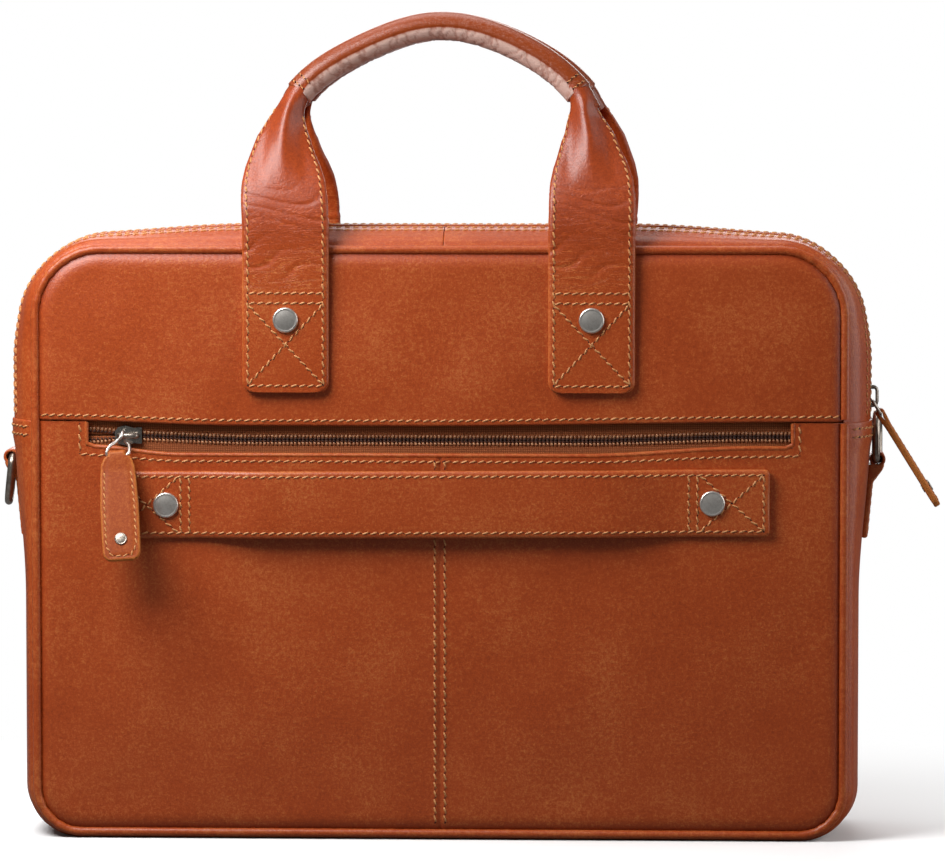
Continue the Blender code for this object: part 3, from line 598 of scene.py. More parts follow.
def tube(points: Array, radius: Any, axis: Sequence[float], sides: int = 12, cyclic: bool = False) -> Mesh:
    """Make a round rod along a path.

    Args:
        points: Points of the path.
        radius: One radius, or one for each point.
        axis: Direction that is across the path everywhere.
        sides: Points round the rod.
        cyclic: Whether the path is a loop.

    Returns:
        Vertices and faces.
    """
    points = np.asarray(points, float)
    if cyclic:
        along = unit(np.roll(points, -1, axis=0) - np.roll(points, 1, axis=0))
    else:
        along = unit(np.gradient(points, axis=0))
    first = unit(np.asarray(axis, float) - along * (along @ np.asarray(axis, float))[:, None])
    second = np.cross(along, first)
    radii = np.broadcast_to(np.asarray(radius, float), (len(points),))
    turns = np.linspace(0, 2 * math.pi, sides, endpoint=False)
    ring = first[:, None] * np.cos(turns)[None, :, None] + second[:, None] * np.sin(turns)[None, :, None]
    return loft(points[:, None] + ring * radii[:, None, None], cyclic)


def loft(rings: Array, cyclic: bool = False) -> Mesh:
    """Make a closed solid through rings of equal point counts.

    Args:
        rings: Points by ring.
        cyclic: Whether the last ring joins the first.

    Returns:
        Vertices and faces.
    """
    count, size = rings.shape[:2]
    index = np.arange(count * size).reshape(count, size)
    if cyclic:
        index = np.concatenate([index, index[:1]])
    after = np.roll(index, -1, axis=1)
    faces = np.stack([index[:-1], after[:-1], after[1:], index[1:]], -1).reshape(-1, 4).tolist()
    if not cyclic:
        faces += [index[0][::-1].tolist(), index[-1].tolist()]
    return rings.reshape(-1, 3), faces


def turned(profile: Sequence[tuple[float, float]], place: Matrix, steps: int = 40) -> Mesh:
    """Turn a profile round the z axis of a frame.

    Args:
        profile: Radius and height of each ring, from the front pole to the back one.
        place: Frame of the piece.
        steps: Points round it.

    Returns:
        Vertices and faces.
    """
    turns = np.linspace(0, 2 * math.pi, steps, endpoint=False)
    rings = [[(r * math.cos(t), r * math.sin(t), h) for t in turns] for r, h in profile]
    verts, faces = loft(np.array(rings))
    return carried(verts, place), faces


def beads(
    centre: Array,
    along: Array,
    up: Array,
    length: float,
    radius: float,
    bow: float,
    sink: float,
) -> Mesh:
    """Make one short rounded bead at each centre, such as a stitch or a turn of a coil.

    Args:
        centre: Points on the surface.
        along: Unit directions of the beads.
        up: Unit normals of the surface.
        length: Length of a bead.
        radius: Radius of a bead.
        bow: How far its middle stands above its ends.
        sink: How deep its ends go below the surface.

    Returns:
        Vertices and faces.
    """
    side = np.cross(up, along)
    stations = np.array([-1.0, -0.82, -0.4, 0.4, 0.82, 1.0])
    widths = np.array([0.35, 0.8, 1.0, 1.0, 0.8, 0.35])
    turns = np.linspace(0, 2 * math.pi, 6, endpoint=False)
    rows = []
    for station, width in zip(stations, widths):
        middle = centre + along * (station * length / 2) + up * (bow * (1 - station**2) - sink)
        for turn in turns:
            rows.append(middle + (up * math.cos(turn) + side * math.sin(turn)) * (width * radius))
    verts = np.stack(rows, axis=1)
    size = verts.shape[1]
    _, faces = loft(verts[0].reshape(len(stations), 6, 3))
    every = [[k * size + corner for corner in face] for k in range(len(centre)) for face in faces]
    return verts.reshape(-1, 3), every


def joined(*meshes: Mesh) -> Mesh:
    """Put several meshes in one."""
    verts, faces, start = [], [], 0
    for points, corners in meshes:
        verts.append(points)
        faces += [[start + c for c in face] for face in corners]
        start += len(points)
    return np.concatenate(verts), faces


@dataclass(frozen=True)
class Hold:
    """How a piece moves: with one body; a piece that names a second body is only baked in place."""

    body: str
    far: str = ""
    start: tuple = ()
    end: tuple = ()

    def take(self, obj: Any) -> None:
        """Fasten a piece."""
        if self.far:
            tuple(self.start)
            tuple(self.end)
            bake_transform(obj)
        else:
            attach(obj, self.body)


CASE = Hold("case")
MOUTH = Hold("case", "mouth_flap", (0, -0.041, 0.2035), (0, -0.041, 0.2165))
FRONT_STRAP = Hold("mouth_flap", "front_handle", (0, -0.0455, 0.2575), (0, -0.0455, 0.2705))
BACK_STRAP = Hold("case", "back_handle", (0, 0.0455, 0.2575), (0, 0.0455, 0.2705))


def piece(
    name: str,
    mesh: Mesh,
    finish: Finish,
    hold: Hold,
    nodes: Sequence[str] = (),
    tone: Any = 0.0,
    bent: Any = 0.0,
    sharp: float = 50.0,
) -> Any:
    """Add a piece to the object.

    Args:
        name: Name of the piece.
        mesh: Vertices and faces.
        finish: Surface finish.
        hold: How it moves.
        nodes: Solids that it stands for.
        tone: Paler above zero and darker below, one number or one for each vertex; it holds rubbed edges, and
            painted shade and highlight.
        bent: Share of bending creases, in the same way.
        sharp: Angle in degrees above which an edge stays sharp.

    Returns:
        The object.
    """
    verts, faces = mesh
    data = bpy.data.meshes.new(name)
    data.from_pydata(np.asarray(verts).tolist(), [], faces)
    work = bmesh.new()
    work.from_mesh(data)
    bmesh.ops.recalc_face_normals(work, faces=work.faces)
    work.to_mesh(data)
    work.free()
    data.shade_smooth()
    data.set_sharp_from_angle(angle=math.radians(sharp))
    if isinstance(finish, WaxedLeather):
        for word, values in (("tone", tone), ("bent", bent)):
            spread = np.broadcast_to(np.asarray(values, np.float32), (len(data.vertices),))
            layer = data.attributes.new(word, "FLOAT", "POINT")
            layer.data.foreach_set("value", np.ascontiguousarray(spread))
    obj = bpy.data.objects.new(name, data)
    bpy.context.scene.collection.objects.link(obj)
    data.materials.append(finish.material())
    if nodes:
        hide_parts(*nodes)
    hold.take(obj)
    LOG.info("%s: %d faces", name, len(faces))
    return obj


@dataclass
class Stitching:
    """Rows of stitches on one part of the bag, with the holes between them."""

    name: str
    hold: Hold
    pitch: float = 4.1 * MM
    thread: float = 0.48 * MM
    slant: float = 19.0
    rise: float = 0.26 * MM
    sink: float = 0.2 * MM
    fineness: float = 1.5 * MM
    nudge: float = 0.2 * MM
    rows: list = field(default_factory=list)
    pricks: list = field(default_factory=list)

    def run(self, surface: Surface, knots: Sequence[tuple[float, float]], flip: bool = False) -> None:
        """Sew a row along a path on a surface.

        Args:
            surface: Gives points of the surface for two parameters.
            knots: Corners of the path in those parameters.
            flip: Whether the surface's own normal points inwards.
        """
        rows = [np.array(knots[:1], float)]
        for here, there in zip(np.array(knots), np.array(knots[1:])):
            count = max(2, math.ceil(math.dist(here, there) / self.fineness))
            rows.append(here + (there - here) * (np.arange(1, count + 1) / count)[:, None])
        places = np.concatenate(rows)
        run = lengths_along(surface(places[:, 0], places[:, 1]))
        count = max(1, round(run[-1] / self.pitch))
        step = run[-1] / count

        def at(lengths: Array) -> tuple[Array, Array, Array]:
            """Give points, directions and normals at lengths along the row."""
            a, b = sampled(lengths, run, places).T
            ahead = sampled(lengths + self.nudge, run, places).T
            behind = sampled(lengths - self.nudge, run, places).T
            along = unit(surface(*ahead) - surface(*behind))
            first = surface(a + self.nudge, b) - surface(a - self.nudge, b)
            second = surface(a, b + self.nudge) - surface(a, b - self.nudge)
            normal = unit(np.cross(first, second)) * (-1 if flip else 1)
            return surface(a, b), along, normal

        centre, along, normal = at((np.arange(count) + 0.5) * step)
        lean = math.radians(self.slant)
        along = unit(along * math.cos(lean) + np.cross(normal, along) * math.sin(lean))
        length = 0.8 * step
        self.rows.append(beads(centre, along, normal, length, self.thread, self.rise, self.sink))
        centre, along, normal = at(np.arange(count + 1) * step)
        wide = 1.15 * self.thread
        self.pricks.append(beads(centre, along, normal, 2.4 * wide, wide, 0.0, 0.78 * wide))

    def build(self) -> None:
        """Add the thread and the holes to the object."""
        piece(f"{self.name}_thread", joined(*self.rows), THREAD, self.hold)
        piece(f"{self.name}_holes", joined(*self.pricks), HOLE, self.hold)


# Shape of the case

# Places of a panel's first rows from its edge, close together where it rolls into the piping.
NEAR_EDGE = np.array([0.0, 0.4, 0.9, 1.6, 2.6, 4.0, 6.0, 8.5, 11.5, 15.0, 20.0, 25.0]) * MM
CLOSE_ROWS = 9
EDGE_BAND = 1.2 * MM
CORNER_STATIONS = 19


@dataclass(frozen=True)
class CaseShape:
    """Outline and depth that the sewn pieces of the case share."""

    rim_half: float = 195 * MM
    rim_bottom: float = 3 * MM
    rim_top: float = 285.5 * MM
    rim_radius: float = 32 * MM
    base_radius: float = 21.5 * MM
    rim_y: float = 38 * MM
    piping: float = 2.2 * MM
    inset: float = 1.0 * MM
    gusset_y: float = 35.5 * MM
    tuck_y: float = 37.4 * MM
    gusset_step: float = 3 * MM
    side_bulge: float = 4.9 * MM
    zip_bulge: float = 10.5 * MM
    top_bulge: float = 8.0 * MM
    corner_bulge: float = 3.4 * MM
    corner_reach: float = 52 * MM
    pinch: float = 0.6
    top_reach: float = 90 * MM
    bulge_start: float = 116 * MM
    seam: float = 203 * MM
    leather: float = 2.2 * MM

    def corner_radius(self, z: Any) -> Any:
        """Give the radius of the panel's corners on the half where a height lies."""
        middle = (self.rim_top + self.rim_bottom) / 2
        return np.where(np.asarray(z) < middle, self.base_radius, self.rim_radius) - self.inset

    def edge_distance(self, x: Any, z: Any) -> Any:
        """Give the distance from places of a panel to its rounded edge."""
        half_x = self.rim_half - self.inset
        half_z = (self.rim_top - self.rim_bottom) / 2 - self.inset
        middle = (self.rim_top + self.rim_bottom) / 2
        radius = self.corner_radius(z)
        over_x = np.abs(x) - half_x + radius
        over_z = np.abs(z - middle) - half_z + radius
        outside = np.hypot(np.maximum(over_x, 0), np.maximum(over_z, 0))
        return radius - outside - np.minimum(np.maximum(over_x, over_z), 0)

    def half_width(self, z: Any) -> Any:
        """Give half the panel's width at a height."""
        gap = np.minimum(z - self.rim_bottom, self.rim_top - z) - self.inset
        return self.rim_half - self.inset - rounded(gap, self.corner_radius(z))

    def panel(self, wing: Array, heights: Array, middle: Sequence[float] = ()) -> tuple[Array, Array]:
        """Give a grid of places over a panel, whose columns follow its rounded corners.

        Args:
            wing: Places of the columns from the edge inwards, where the panel is widest.
            heights: Heights of the rows.
            middle: Places of the columns between both wings.

        Returns:
            Places across and up.
        """
        share = np.concatenate([-wing, middle, wing[::-1]]) / (self.rim_half - self.inset)
        z = repeated(heights, len(share))
        return self.half_width(z) * share[None], z

    def relief(self, x: Any, z: Any) -> Any:
        """Give how far soft leather stands in front of its flat place, lower towards the piping."""
        gap = self.edge_distance(x, z)
        roll = -2.9 * MM * np.clip(1 - gap / (8 * MM), 0, 1) ** 2.4
        swell = 1.1 * MM * smooth(gap / (70 * MM))
        wave = np.sin(x / (19 * MM) + 1.3) * np.sin(z / (14 * MM) + 0.4)
        wave = wave + 0.7 * np.sin(x / (11 * MM) - z / (17 * MM))
        return roll + swell + 0.16 * MM * wave * smooth(gap / (20 * MM))

    def painted_groove_shade(self, grid: Array) -> Array:
        """Darken a panel beside the piping with painted shade, for both of its faces."""
        gap = self.edge_distance(grid[..., 0], grid[..., 2])
        # Painted shade in the groove beside the piping.
        tone = -0.45 * smooth((3.2 * MM - gap) / (2.4 * MM))
        return np.tile(tone.ravel(), 2)

    def upper_rim(self, start: float, step: float = 3 * MM) -> Array:
        """Give stations over the top: place, outward direction and crown of each.

        Args:
            start: Height of both ends.
            step: Spacing of the stations.

        Returns:
            Rows of x, z, outward x, outward z and crown.
        """
        radius = self.rim_radius
        corner = self.rim_top - radius
        inner = self.rim_half - radius
        quarter = radius * math.pi / 2
        rows = []
        for z in spaced(start, corner, step, EDGE_BAND):
            crown = self.crown(corner - z + self.pinch * quarter, self.zip_bulge)
            rows.append((-self.rim_half, z, -1.0, 0.0, crown))
        for turn in np.linspace(0, math.pi / 2, CORNER_STATIONS)[1:]:
            away = (-math.cos(turn), math.sin(turn))
            gap = self.pinch * quarter - radius * turn
            if gap > 0:
                crown = self.crown(gap, self.zip_bulge)
            else:
                crown = self.crown(-gap, self.top_bulge, self.top_reach)
            rows.append((-inner + away[0] * radius, corner + away[1] * radius, *away, crown))
        for x in spaced(-inner, 0, step, EDGE_BAND)[1:]:
            gap = inner + x + (1 - self.pinch) * quarter
            crown = self.crown(gap, self.top_bulge, self.top_reach)
            rows.append((x, self.rim_top, 0.0, 1.0, crown))
        return self.both_sides(rows)

    def both_sides(self, rows: list) -> Array:
        """Give stations of the left half and, mirrored, of the right half."""
        left = np.array(rows)
        right = left[-2::-1] * np.array([-1, 1, -1, 1, 1])
        return np.concatenate([left, right])

    def crown(self, gap: float, full: float, reach: float = 0.0) -> float:
        """Give the gusset's crown at a distance from the middle of a corner, where it is drawn in."""
        share = float(smooth(gap / (reach or self.corner_reach)))
        return self.corner_bulge + (full - self.corner_bulge) * share

    def lower_rim(self, start: float, step: float = 4 * MM) -> Array:
        """Give stations from the left seam round the base to the right seam, as for the top.

        Args:
            start: Height of both ends.
            step: Spacing of the stations on the sides.

        Returns:
            Rows of x, z, outward x, outward z and crown.
        """
        radius = self.base_radius
        corner = self.rim_bottom + radius
        inner = self.rim_half - radius
        rows = []
        for z in spaced(corner, start, step, EDGE_BAND)[::-1]:
            rows.append((-self.rim_half, z, -1.0, 0.0, float(self.side_crown(z))))
        for turn in np.linspace(0, math.pi / 2, CORNER_STATIONS)[1:]:
            away = (-math.cos(turn), -math.sin(turn))
            crown = self.side_bulge * (1 - float(smooth(turn / (math.pi / 2))))
            rows.append((-inner + away[0] * radius, corner + away[1] * radius, *away, crown))
        rows += [(x, self.rim_bottom, 0.0, -1.0, 0.0) for x in np.linspace(-inner, 0, 42)[1:]]
        return self.both_sides(rows)

    def side_crown(self, z: Any) -> Any:
        """Give the gusset's crown at a height on the side, fuller towards the zip's ends."""
        swell = smooth((z - self.bulge_start) / (self.seam - self.bulge_start))
        return self.side_bulge + (self.zip_bulge - self.side_bulge) * swell

    def band(self, stations: Array, depths: Array, inset: float = 0.0, lift: Any = 0.0) -> Array:
        """Give a grid of points on the gusset.

        Args:
            stations: Rows from a rim.
            depths: Places from front to back.
            inset: How far below the gusset's face.
            lift: Extra height, by station and depth.

        Returns:
            Points by station and depth.
        """
        crown = np.maximum(1 - np.abs(depths / self.gusset_y) ** 4, 0.0)
        rise = self.gusset_step + stations[:, 4:5] * crown[None] - self.tuck(depths)[None] - inset + lift
        x = stations[:, 0:1] + stations[:, 2:3] * rise
        z = stations[:, 1:2] + stations[:, 3:4] * rise
        return np.stack([x, np.broadcast_to(depths[None], x.shape), z], -1)

    def tuck(self, y: Any) -> Any:
        """Give how far the gusset dips at a depth: into the piping, after a low roll beside it."""
        dip = 1.6 * np.maximum(np.abs(y) - self.gusset_y + 0.4 * MM, 0.0)
        return dip - 0.7 * MM * bell(np.abs(y) - 33.0 * MM, 1.7 * MM)

    def side_face(self, z: Any, y: Any) -> Any:
        """Give half the width of the case at a height on the side and a depth."""
        rise = self.side_crown(z) * np.maximum(1 - np.abs(y / self.gusset_y) ** 4, 0.0)
        return self.rim_half + self.gusset_step + rise - self.tuck(y)


SHAPE = CaseShape()


def edge_tone(points: Array, width: float, amount: float, sides: tuple[bool, bool] = (True, True)) -> Array:
    """Make a sheet's edges paler, as rubbed leather is.

    Args:
        points: The sheet's outer face, by row and column.
        width: How far the rubbed strip reaches in.
        amount: How much paler the edge itself is.
        sides: Whether the rows' ends and the columns' ends are rubbed.

    Returns:
        One number for each vertex of the sheet, both faces.
    """
    values = amount * np.clip(1 - edge_gap(points, *sides) / width, 0, 1)
    return np.concatenate([values.ravel(), np.full(values.size, amount)])


@dataclass
class Front:
    """Front below the yoke: two panels on a middle seam, with the opening of the zip pocket."""

    face: float = 40.2 * MM
    bottom: float = 4.0 * MM
    sill: float = 190.5 * MM
    half_window: float = 170.2 * MM
    sag: float = 3.9 * MM
    seam_x: float = 0.5 * MM
    seam_rows: tuple = (-1.9 * MM, 2.9 * MM)
    strap_low: float = 146.6 * MM
    strap_high: float = 180.2 * MM

    def surface(self, x: Array, z: Array) -> Array:
        """Give points of the outer face for places across and up."""
        seam = 0.8 * MM * bell(x - self.seam_x, 0.9 * MM)
        lap = 0.25 * MM * smooth((4 * MM - np.abs(x - self.seam_x)) / (2 * MM))
        y = -(self.face + SHAPE.relief(x, z) - seam + lap)
        return np.stack([x, y, z], -1)

    def drop(self, x: Any) -> Any:
        """Give how far the opening's lower edge hangs below its ends."""
        return self.sag * smooth((x + self.half_window) / (46 * MM)) * smooth((150 * MM - x) / (80 * MM))

    def build(self) -> None:
        """Add the panels, the folded edge of the opening and the stitching."""
        half = SHAPE.rim_half - SHAPE.inset
        near = NEAR_EDGE[:CLOSE_ROWS]
        middle = np.array([4, 2.6, 1.6, 0.8]) * MM
        wing = np.concatenate([half - near, np.linspace(half - 15 * MM, 6 * MM, 44), middle])
        heights = np.concatenate([NEAR_EDGE, np.arange(30, 183, 4) * MM])
        heights = self.bottom + heights[heights < self.sill - self.bottom - 2 * MM]
        heights = np.concatenate([heights, self.sill - near[3::-1]])
        x, z = SHAPE.panel(wing, heights, [0.0])
        sag = self.drop(np.clip(x, -self.half_window, self.half_window))
        z = z - sag * smooth((z - 150 * MM) / (38 * MM))
        grid = self.surface(x, z)
        nodes = ("front_panel_left", "front_panel_right")
        mesh = sheet(grid, SHAPE.leather, flip=True, ends=False)
        piece("front_panel", mesh, BODY_LEATHER, CASE, nodes, tone=SHAPE.painted_groove_shade(grid))
        for side, word in HANDS:
            x = np.concatenate([np.linspace(self.half_window, half - near[-2], 7), half - near[-2::-1]])
            z = np.linspace(self.sill, SHAPE.seam - 0.3 * MM, 6)
            places = np.meshgrid(z, side * x, indexing="ij")
            grid = self.surface(places[1], places[0])
            mesh = sheet(grid, SHAPE.leather, flip=side > 0, ends=False, sides=False)
            piece(f"front_panel_end_{word}", mesh, BODY_LEATHER, CASE, tone=SHAPE.painted_groove_shade(grid))
        self.build_fold()
        self.sew()

    def build_fold(self) -> None:
        """Add the turned edge round the opening."""
        x = np.linspace(-self.half_window, self.half_window, 90)[1:-1]
        low = np.stack([x, self.sill - self.drop(x)], -1)
        heights = (self.sill + 1.6 * MM, SHAPE.seam - 6 * MM, SHAPE.seam - 0.6 * MM)
        right = np.array([(self.half_window, z) for z in heights])
        places = np.concatenate([right[::-1] * np.array([-1, 1]), low, right])
        points = self.surface(places[:, 0], places[:, 1]) + np.array([0, 0.75 * MM, 0])
        mesh = tube(points, 1.15 * MM, (0, 1, 0), 12)
        # The turned edge is painted a little paler, as a highlight along it.
        piece("front_zip_fold", mesh, BODY_LEATHER, CASE, tone=0.1)

    def sew(self) -> None:
        """Add the stitching of the opening and the middle seam."""
        seam = Stitching("front_panel", CASE)
        end = self.half_window + 3.2 * MM
        along = np.linspace(-end + 2 * MM, end - 2 * MM, 40)
        low = [(x, self.sill - 4.1 * MM - 0.72 * float(self.drop(x))) for x in along]
        low[0] = (-end, self.sill - 3.6 * MM)
        low[-1] = (end, self.sill - 3.6 * MM)
        seam.run(self.surface, low)
        for side in (-1, 1):
            seam.run(self.surface, [(side * end, SHAPE.seam - 1.6 * MM), (side * end, self.sill - 2.2 * MM)])
        for x in self.seam_rows:
            seam.run(self.surface, [(x, 184.0 * MM), (x, self.strap_high)])
            seam.run(self.surface, [(x, self.strap_low), (x, 8.5 * MM)])
        seam.build()


@dataclass
class Yoke:
    """Upper front: one panel that carries the front handle and belongs to the mouth flap."""

    face: float = 41.0 * MM
    row: float = 2.7 * MM
    sag: float = 2.3 * MM

    def surface(self, x: Array, z: Array) -> Array:
        """Give points of the outer face for places across and up, its lower edge hanging a little."""
        hang = self.sag * smooth((x + 185 * MM) / (90 * MM)) * smooth((175 * MM - x) / (190 * MM))
        place = z - hang * smooth((232 * MM - z) / (28 * MM))
        return np.stack([x, -(self.face + SHAPE.relief(x, z)), place], -1)

    def build(self) -> None:
        """Add the panel and its row of stitches."""
        half = SHAPE.rim_half - SHAPE.inset
        wing = np.concatenate([half - NEAR_EDGE[:CLOSE_ROWS], np.linspace(half - 15 * MM, 2 * MM, 46)])
        top = SHAPE.rim_top - SHAPE.inset
        low = SHAPE.seam + 0.1 * MM
        rows = [low + NEAR_EDGE[:5], np.arange(low + 4 * MM, top - 22 * MM, 3 * MM)]
        rows.append(top - np.array([20, 16, 12, 9, 6.5, 4.5, 3, 1.9, 1.1, 0.5, 0.15, 0.0]) * MM)
        grid = self.surface(*SHAPE.panel(wing, np.concatenate(rows)))
        mesh = sheet(grid, SHAPE.leather, flip=True)
        piece("yoke", mesh, BODY_LEATHER, MOUTH, ("front_yoke",), tone=SHAPE.painted_groove_shade(grid))
        seam = Stitching("yoke", MOUTH)
        end = half - 1.5 * MM
        seam.run(self.surface, [(-end, SHAPE.seam + self.row), (end, SHAPE.seam + self.row)])
        seam.build()


@dataclass
class Back:
    """Plain back panel."""

    face: float = 41.0 * MM

    def surface(self, x: Array, z: Array) -> Array:
        """Give points of the outer face for places across and up."""
        return np.stack([x, self.face + SHAPE.relief(-x, z), z], -1)

    def build(self) -> None:
        """Add the panel."""
        near = NEAR_EDGE
        half = SHAPE.rim_half - SHAPE.inset
        wing = np.concatenate([half - near, np.linspace(half - 30 * MM, 2 * MM, 38)])
        low = SHAPE.rim_bottom + SHAPE.inset
        top = SHAPE.rim_top - SHAPE.inset
        middle = np.linspace(low + 29 * MM, top - 29 * MM, 52)
        heights = np.concatenate([low + near, middle, top - near[::-1]])
        grid = self.surface(*SHAPE.panel(wing, heights))
        mesh = sheet(grid, SHAPE.leather)
        tone = SHAPE.painted_groove_shade(grid)
        piece("back_panel_leather", mesh, BODY_LEATHER, CASE, ("back_panel",), tone=tone)


@dataclass
class Gusset:
    """Strip round the case: the lower run, and the two runs beside the main zip."""

    leather: float = 2.0 * MM
    front_edge: float = -17.5 * MM
    back_edge: float = -4.5 * MM
    lap: float = 0.9 * MM
    lap_rows: tuple = (3.4 * MM, 7.4 * MM)
    zip_rows: tuple = (2.4 * MM, 7.4 * MM)
    lap_half: float = 35.3 * MM
    under: float = 5.0 * MM
    top_seam: float = 2.0 * MM

    def depths(self, first: float, last: float) -> Array:
        """Give places from front to back, close together at both edges."""
        return spaced(first, last, 2.6 * MM, 2.4 * MM)

    def build(self) -> None:
        """Add the strips and their stitching."""
        edge = SHAPE.tuck_y
        low = SHAPE.lower_rim(SHAPE.seam - 0.1 * MM)
        lap = self.lap * smooth((low[:, 1:2] - SHAPE.seam + 16 * MM) / (8 * MM))
        grid = SHAPE.band(low, self.depths(-edge, edge), lift=lap)
        mesh = sheet(grid, self.leather, flip=True, sides=False)
        piece("gusset_lower_leather", mesh, BODY_LEATHER, CASE, ("gusset_lower",))
        run = SHAPE.upper_rim(SHAPE.seam - self.under)
        middle = len(run) // 2
        for word, first, last, hold in (
            ("front", -edge, self.front_edge, MOUTH),
            ("back", self.back_edge, edge, CASE),
        ):
            depths = self.depths(first, last)
            for part, side in ((run[: middle + 1].copy(), "left"), (run[middle:].copy(), "right")):
                end = -1 if side == "left" else 0
                part[:, 0] += self.top_seam * (1 - smooth(np.abs(part[:, 0]) / (30 * MM)))
                part[end, 0] += -0.06 * MM if side == "left" else 0.06 * MM
                mesh = sheet(SHAPE.band(part, depths), self.leather, rounding=0.18)
                name = f"gusset_{word}_{side}"
                piece(f"{name}_leather", mesh, BODY_LEATHER, hold, (name,))
        self.sew(run)

    def sew(self, run: Array) -> None:
        """Add rows along the zip and across the lapped side seams.

        Args:
            run: Stations over the top.
        """
        lengths = lengths_along(run[:, :2])

        def top(a: Array, b: Array) -> Array:
            """Give points of the upper strips for lengths along the rim and depths."""
            part = sampled(a, lengths, run)
            rise = SHAPE.gusset_step + part[:, 4] * (1 - np.abs(b / SHAPE.gusset_y) ** 4)
            return np.stack([part[:, 0] + part[:, 2] * rise, b, part[:, 1] + part[:, 3] * rise], -1)

        start, end = self.under + 2 * MM, lengths[-1] - self.under - 2 * MM
        front = Stitching("gusset_front", MOUTH)
        back = Stitching("gusset_back", CASE)
        for gap in self.zip_rows:
            front.run(top, [(start, self.front_edge - gap), (end, self.front_edge - gap)])
            back.run(top, [(start, self.back_edge + gap), (end, self.back_edge + gap)])
        for side in (-1, 1):
            for row in self.lap_rows:
                back.run(
                    lambda a, b, s=side: np.stack([s * (SHAPE.side_face(b, a) + self.lap), a, b], -1),
                    [(-self.lap_half, SHAPE.seam - row), (self.lap_half, SHAPE.seam - row)],
                    flip=side < 0,
                )
        front.build()
        back.build()


@dataclass
class Piping:
    """Leather-covered cord sewn into both rims."""

    wrinkle: float = 0.22 * MM

    def path(self, stations: Array, y: float) -> tuple[Array, Array]:
        """Give the path and its radii, a little puckered round the corners.

        Args:
            stations: Rows from a rim.
            y: Depth of the rim.

        Returns:
            Points and radii.
        """
        points = np.stack([stations[:, 0], np.full(len(stations), y), stations[:, 1]], -1)
        run = lengths_along(points)
        fine = np.arange(0, run[-1], 1.6 * MM)
        points = sampled(fine, run, points)
        corner = sampled(fine, run, np.abs(stations[:, 2:4])).min(axis=1)
        ripple = np.sin(fine / (0.95 * MM)) * np.sin(fine / (3.7 * MM) + 1.1)
        radii = SHAPE.piping + self.wrinkle * ripple * (0.25 + smooth(corner / 0.4))
        return points, radii

    def build(self) -> None:
        """Add the piping of both rims."""
        upper = SHAPE.upper_rim(SHAPE.seam - 0.2 * MM)
        lower = SHAPE.lower_rim(SHAPE.seam + 0.2 * MM)
        ring = np.concatenate([upper[:-1], lower[::-1][:-1]])
        for word, stations, y, hold, node in (
            ("front_upper", upper, -SHAPE.rim_y, MOUTH, "front_piping_upper"),
            ("front_lower", lower, -SHAPE.rim_y, CASE, "front_piping_lower"),
            ("back", ring, SHAPE.rim_y, CASE, "back_piping"),
        ):
            points, radii = self.path(stations, y)
            mesh = tube(points, radii, (0, 1, 0), 14, cyclic=word == "back")
            piece(f"piping_{word}", mesh, BODY_LEATHER, hold, (node,), tone=0.03)


# Zips


@dataclass
class CoilChain:
    """Closed coil zip: pale turns outside, and dark turns where the two halves meet, painted as the shade
    between them.
    """

    pitch: float = 1.86 * MM
    outer: float = 1.75 * MM
    inner: float = 0.55 * MM
    turn_length: float = 1.6 * MM
    pale_radius: float = 0.62 * MM
    dark_radius: float = 0.5 * MM

    def half(self, points: Array, normal: Array, side: Array, spread: Any = 0.0) -> tuple[Mesh, Mesh]:
        """Make the turns of one half.

        Args:
            points: Chain's middle at each turn.
            normal: Outward directions.
            side: Directions towards this half's tape.
            spread: How far this half is drawn off the other at each turn.

        Returns:
            The pale turns and the dark ones.
        """
        along = unit(np.gradient(points, axis=0))
        slant = unit(side + along * 0.55)
        away = np.broadcast_to(np.asarray(spread, float), (len(points),))[:, None]
        middle = points + side * (self.outer + away)
        pale = beads(middle, slant, normal, self.turn_length, self.pale_radius, 0.25 * MM, 0.1 * MM)
        steep = unit(along + side * 0.5)
        middle = points + side * (self.inner + away)
        dark = beads(middle, steep, normal, self.turn_length, self.dark_radius, 0.1 * MM, -0.2 * MM)
        return pale, dark


@dataclass
class FrontZip:
    """Zip of the front pocket."""

    y: float = -36.8 * MM
    z: float = 195.75 * MM
    half: float = 168.5 * MM
    tape: float = 0.6 * MM
    slider_x: float = -146 * MM
    parted: float = 1.5 * MM
    sag: float = 2.0 * MM

    def drop(self, x: Any) -> Any:
        """Give how far the chain hangs below its ends."""
        return self.sag * smooth((x + 160 * MM) / (70 * MM)) * smooth((150 * MM - x) / (80 * MM))

    def build(self) -> None:
        """Add tapes and coils."""
        chain = CoilChain()
        count = int(2 * self.half / chain.pitch)
        x = np.linspace(-self.half, self.half, count)
        points = np.stack([x, np.full(count, self.y - 0.55 * MM), self.z - self.drop(x)], -1)
        normal = np.tile([0.0, -1.0, 0.0], (count, 1))
        parting = smooth((self.slider_x - x) / (self.half + self.slider_x)) * self.parted
        across = np.linspace(-self.half - 8 * MM, self.half + 8 * MM, 60)
        for word, sign in (("upper", 1), ("lower", -1)):
            side = np.tile([0.0, 0.0, float(sign)], (count, 1))
            pale, dark = chain.half(points, normal, side, parting)
            piece(f"front_zip_turns_{word}", pale, PALE_COIL, CASE, (f"front_zip_coil_{word}",))
            # The core's dark turns are painted shade where the halves meet.
            piece(f"front_zip_core_{word}", dark, SHADE_COIL, CASE)
            heights = self.z + sign * np.array([0.3, 1.2, 2.6, 2.9, 5, 8, 11.6]) * MM
            up, along = np.meshgrid(heights, across, indexing="ij")
            bow = 0.25 * MM * np.sin(along / (23 * MM))
            bow = bow * smooth((np.abs(up - self.z) - 3 * MM) / (4 * MM))
            grid = np.stack([along, self.y - 0.3 * MM + bow, up - self.drop(along)], -1)
            mesh = sheet(grid, self.tape, flip=sign > 0)
            piece(f"front_zip_cloth_{word}", mesh, TAPE, CASE, (f"front_zip_tape_{word}",))


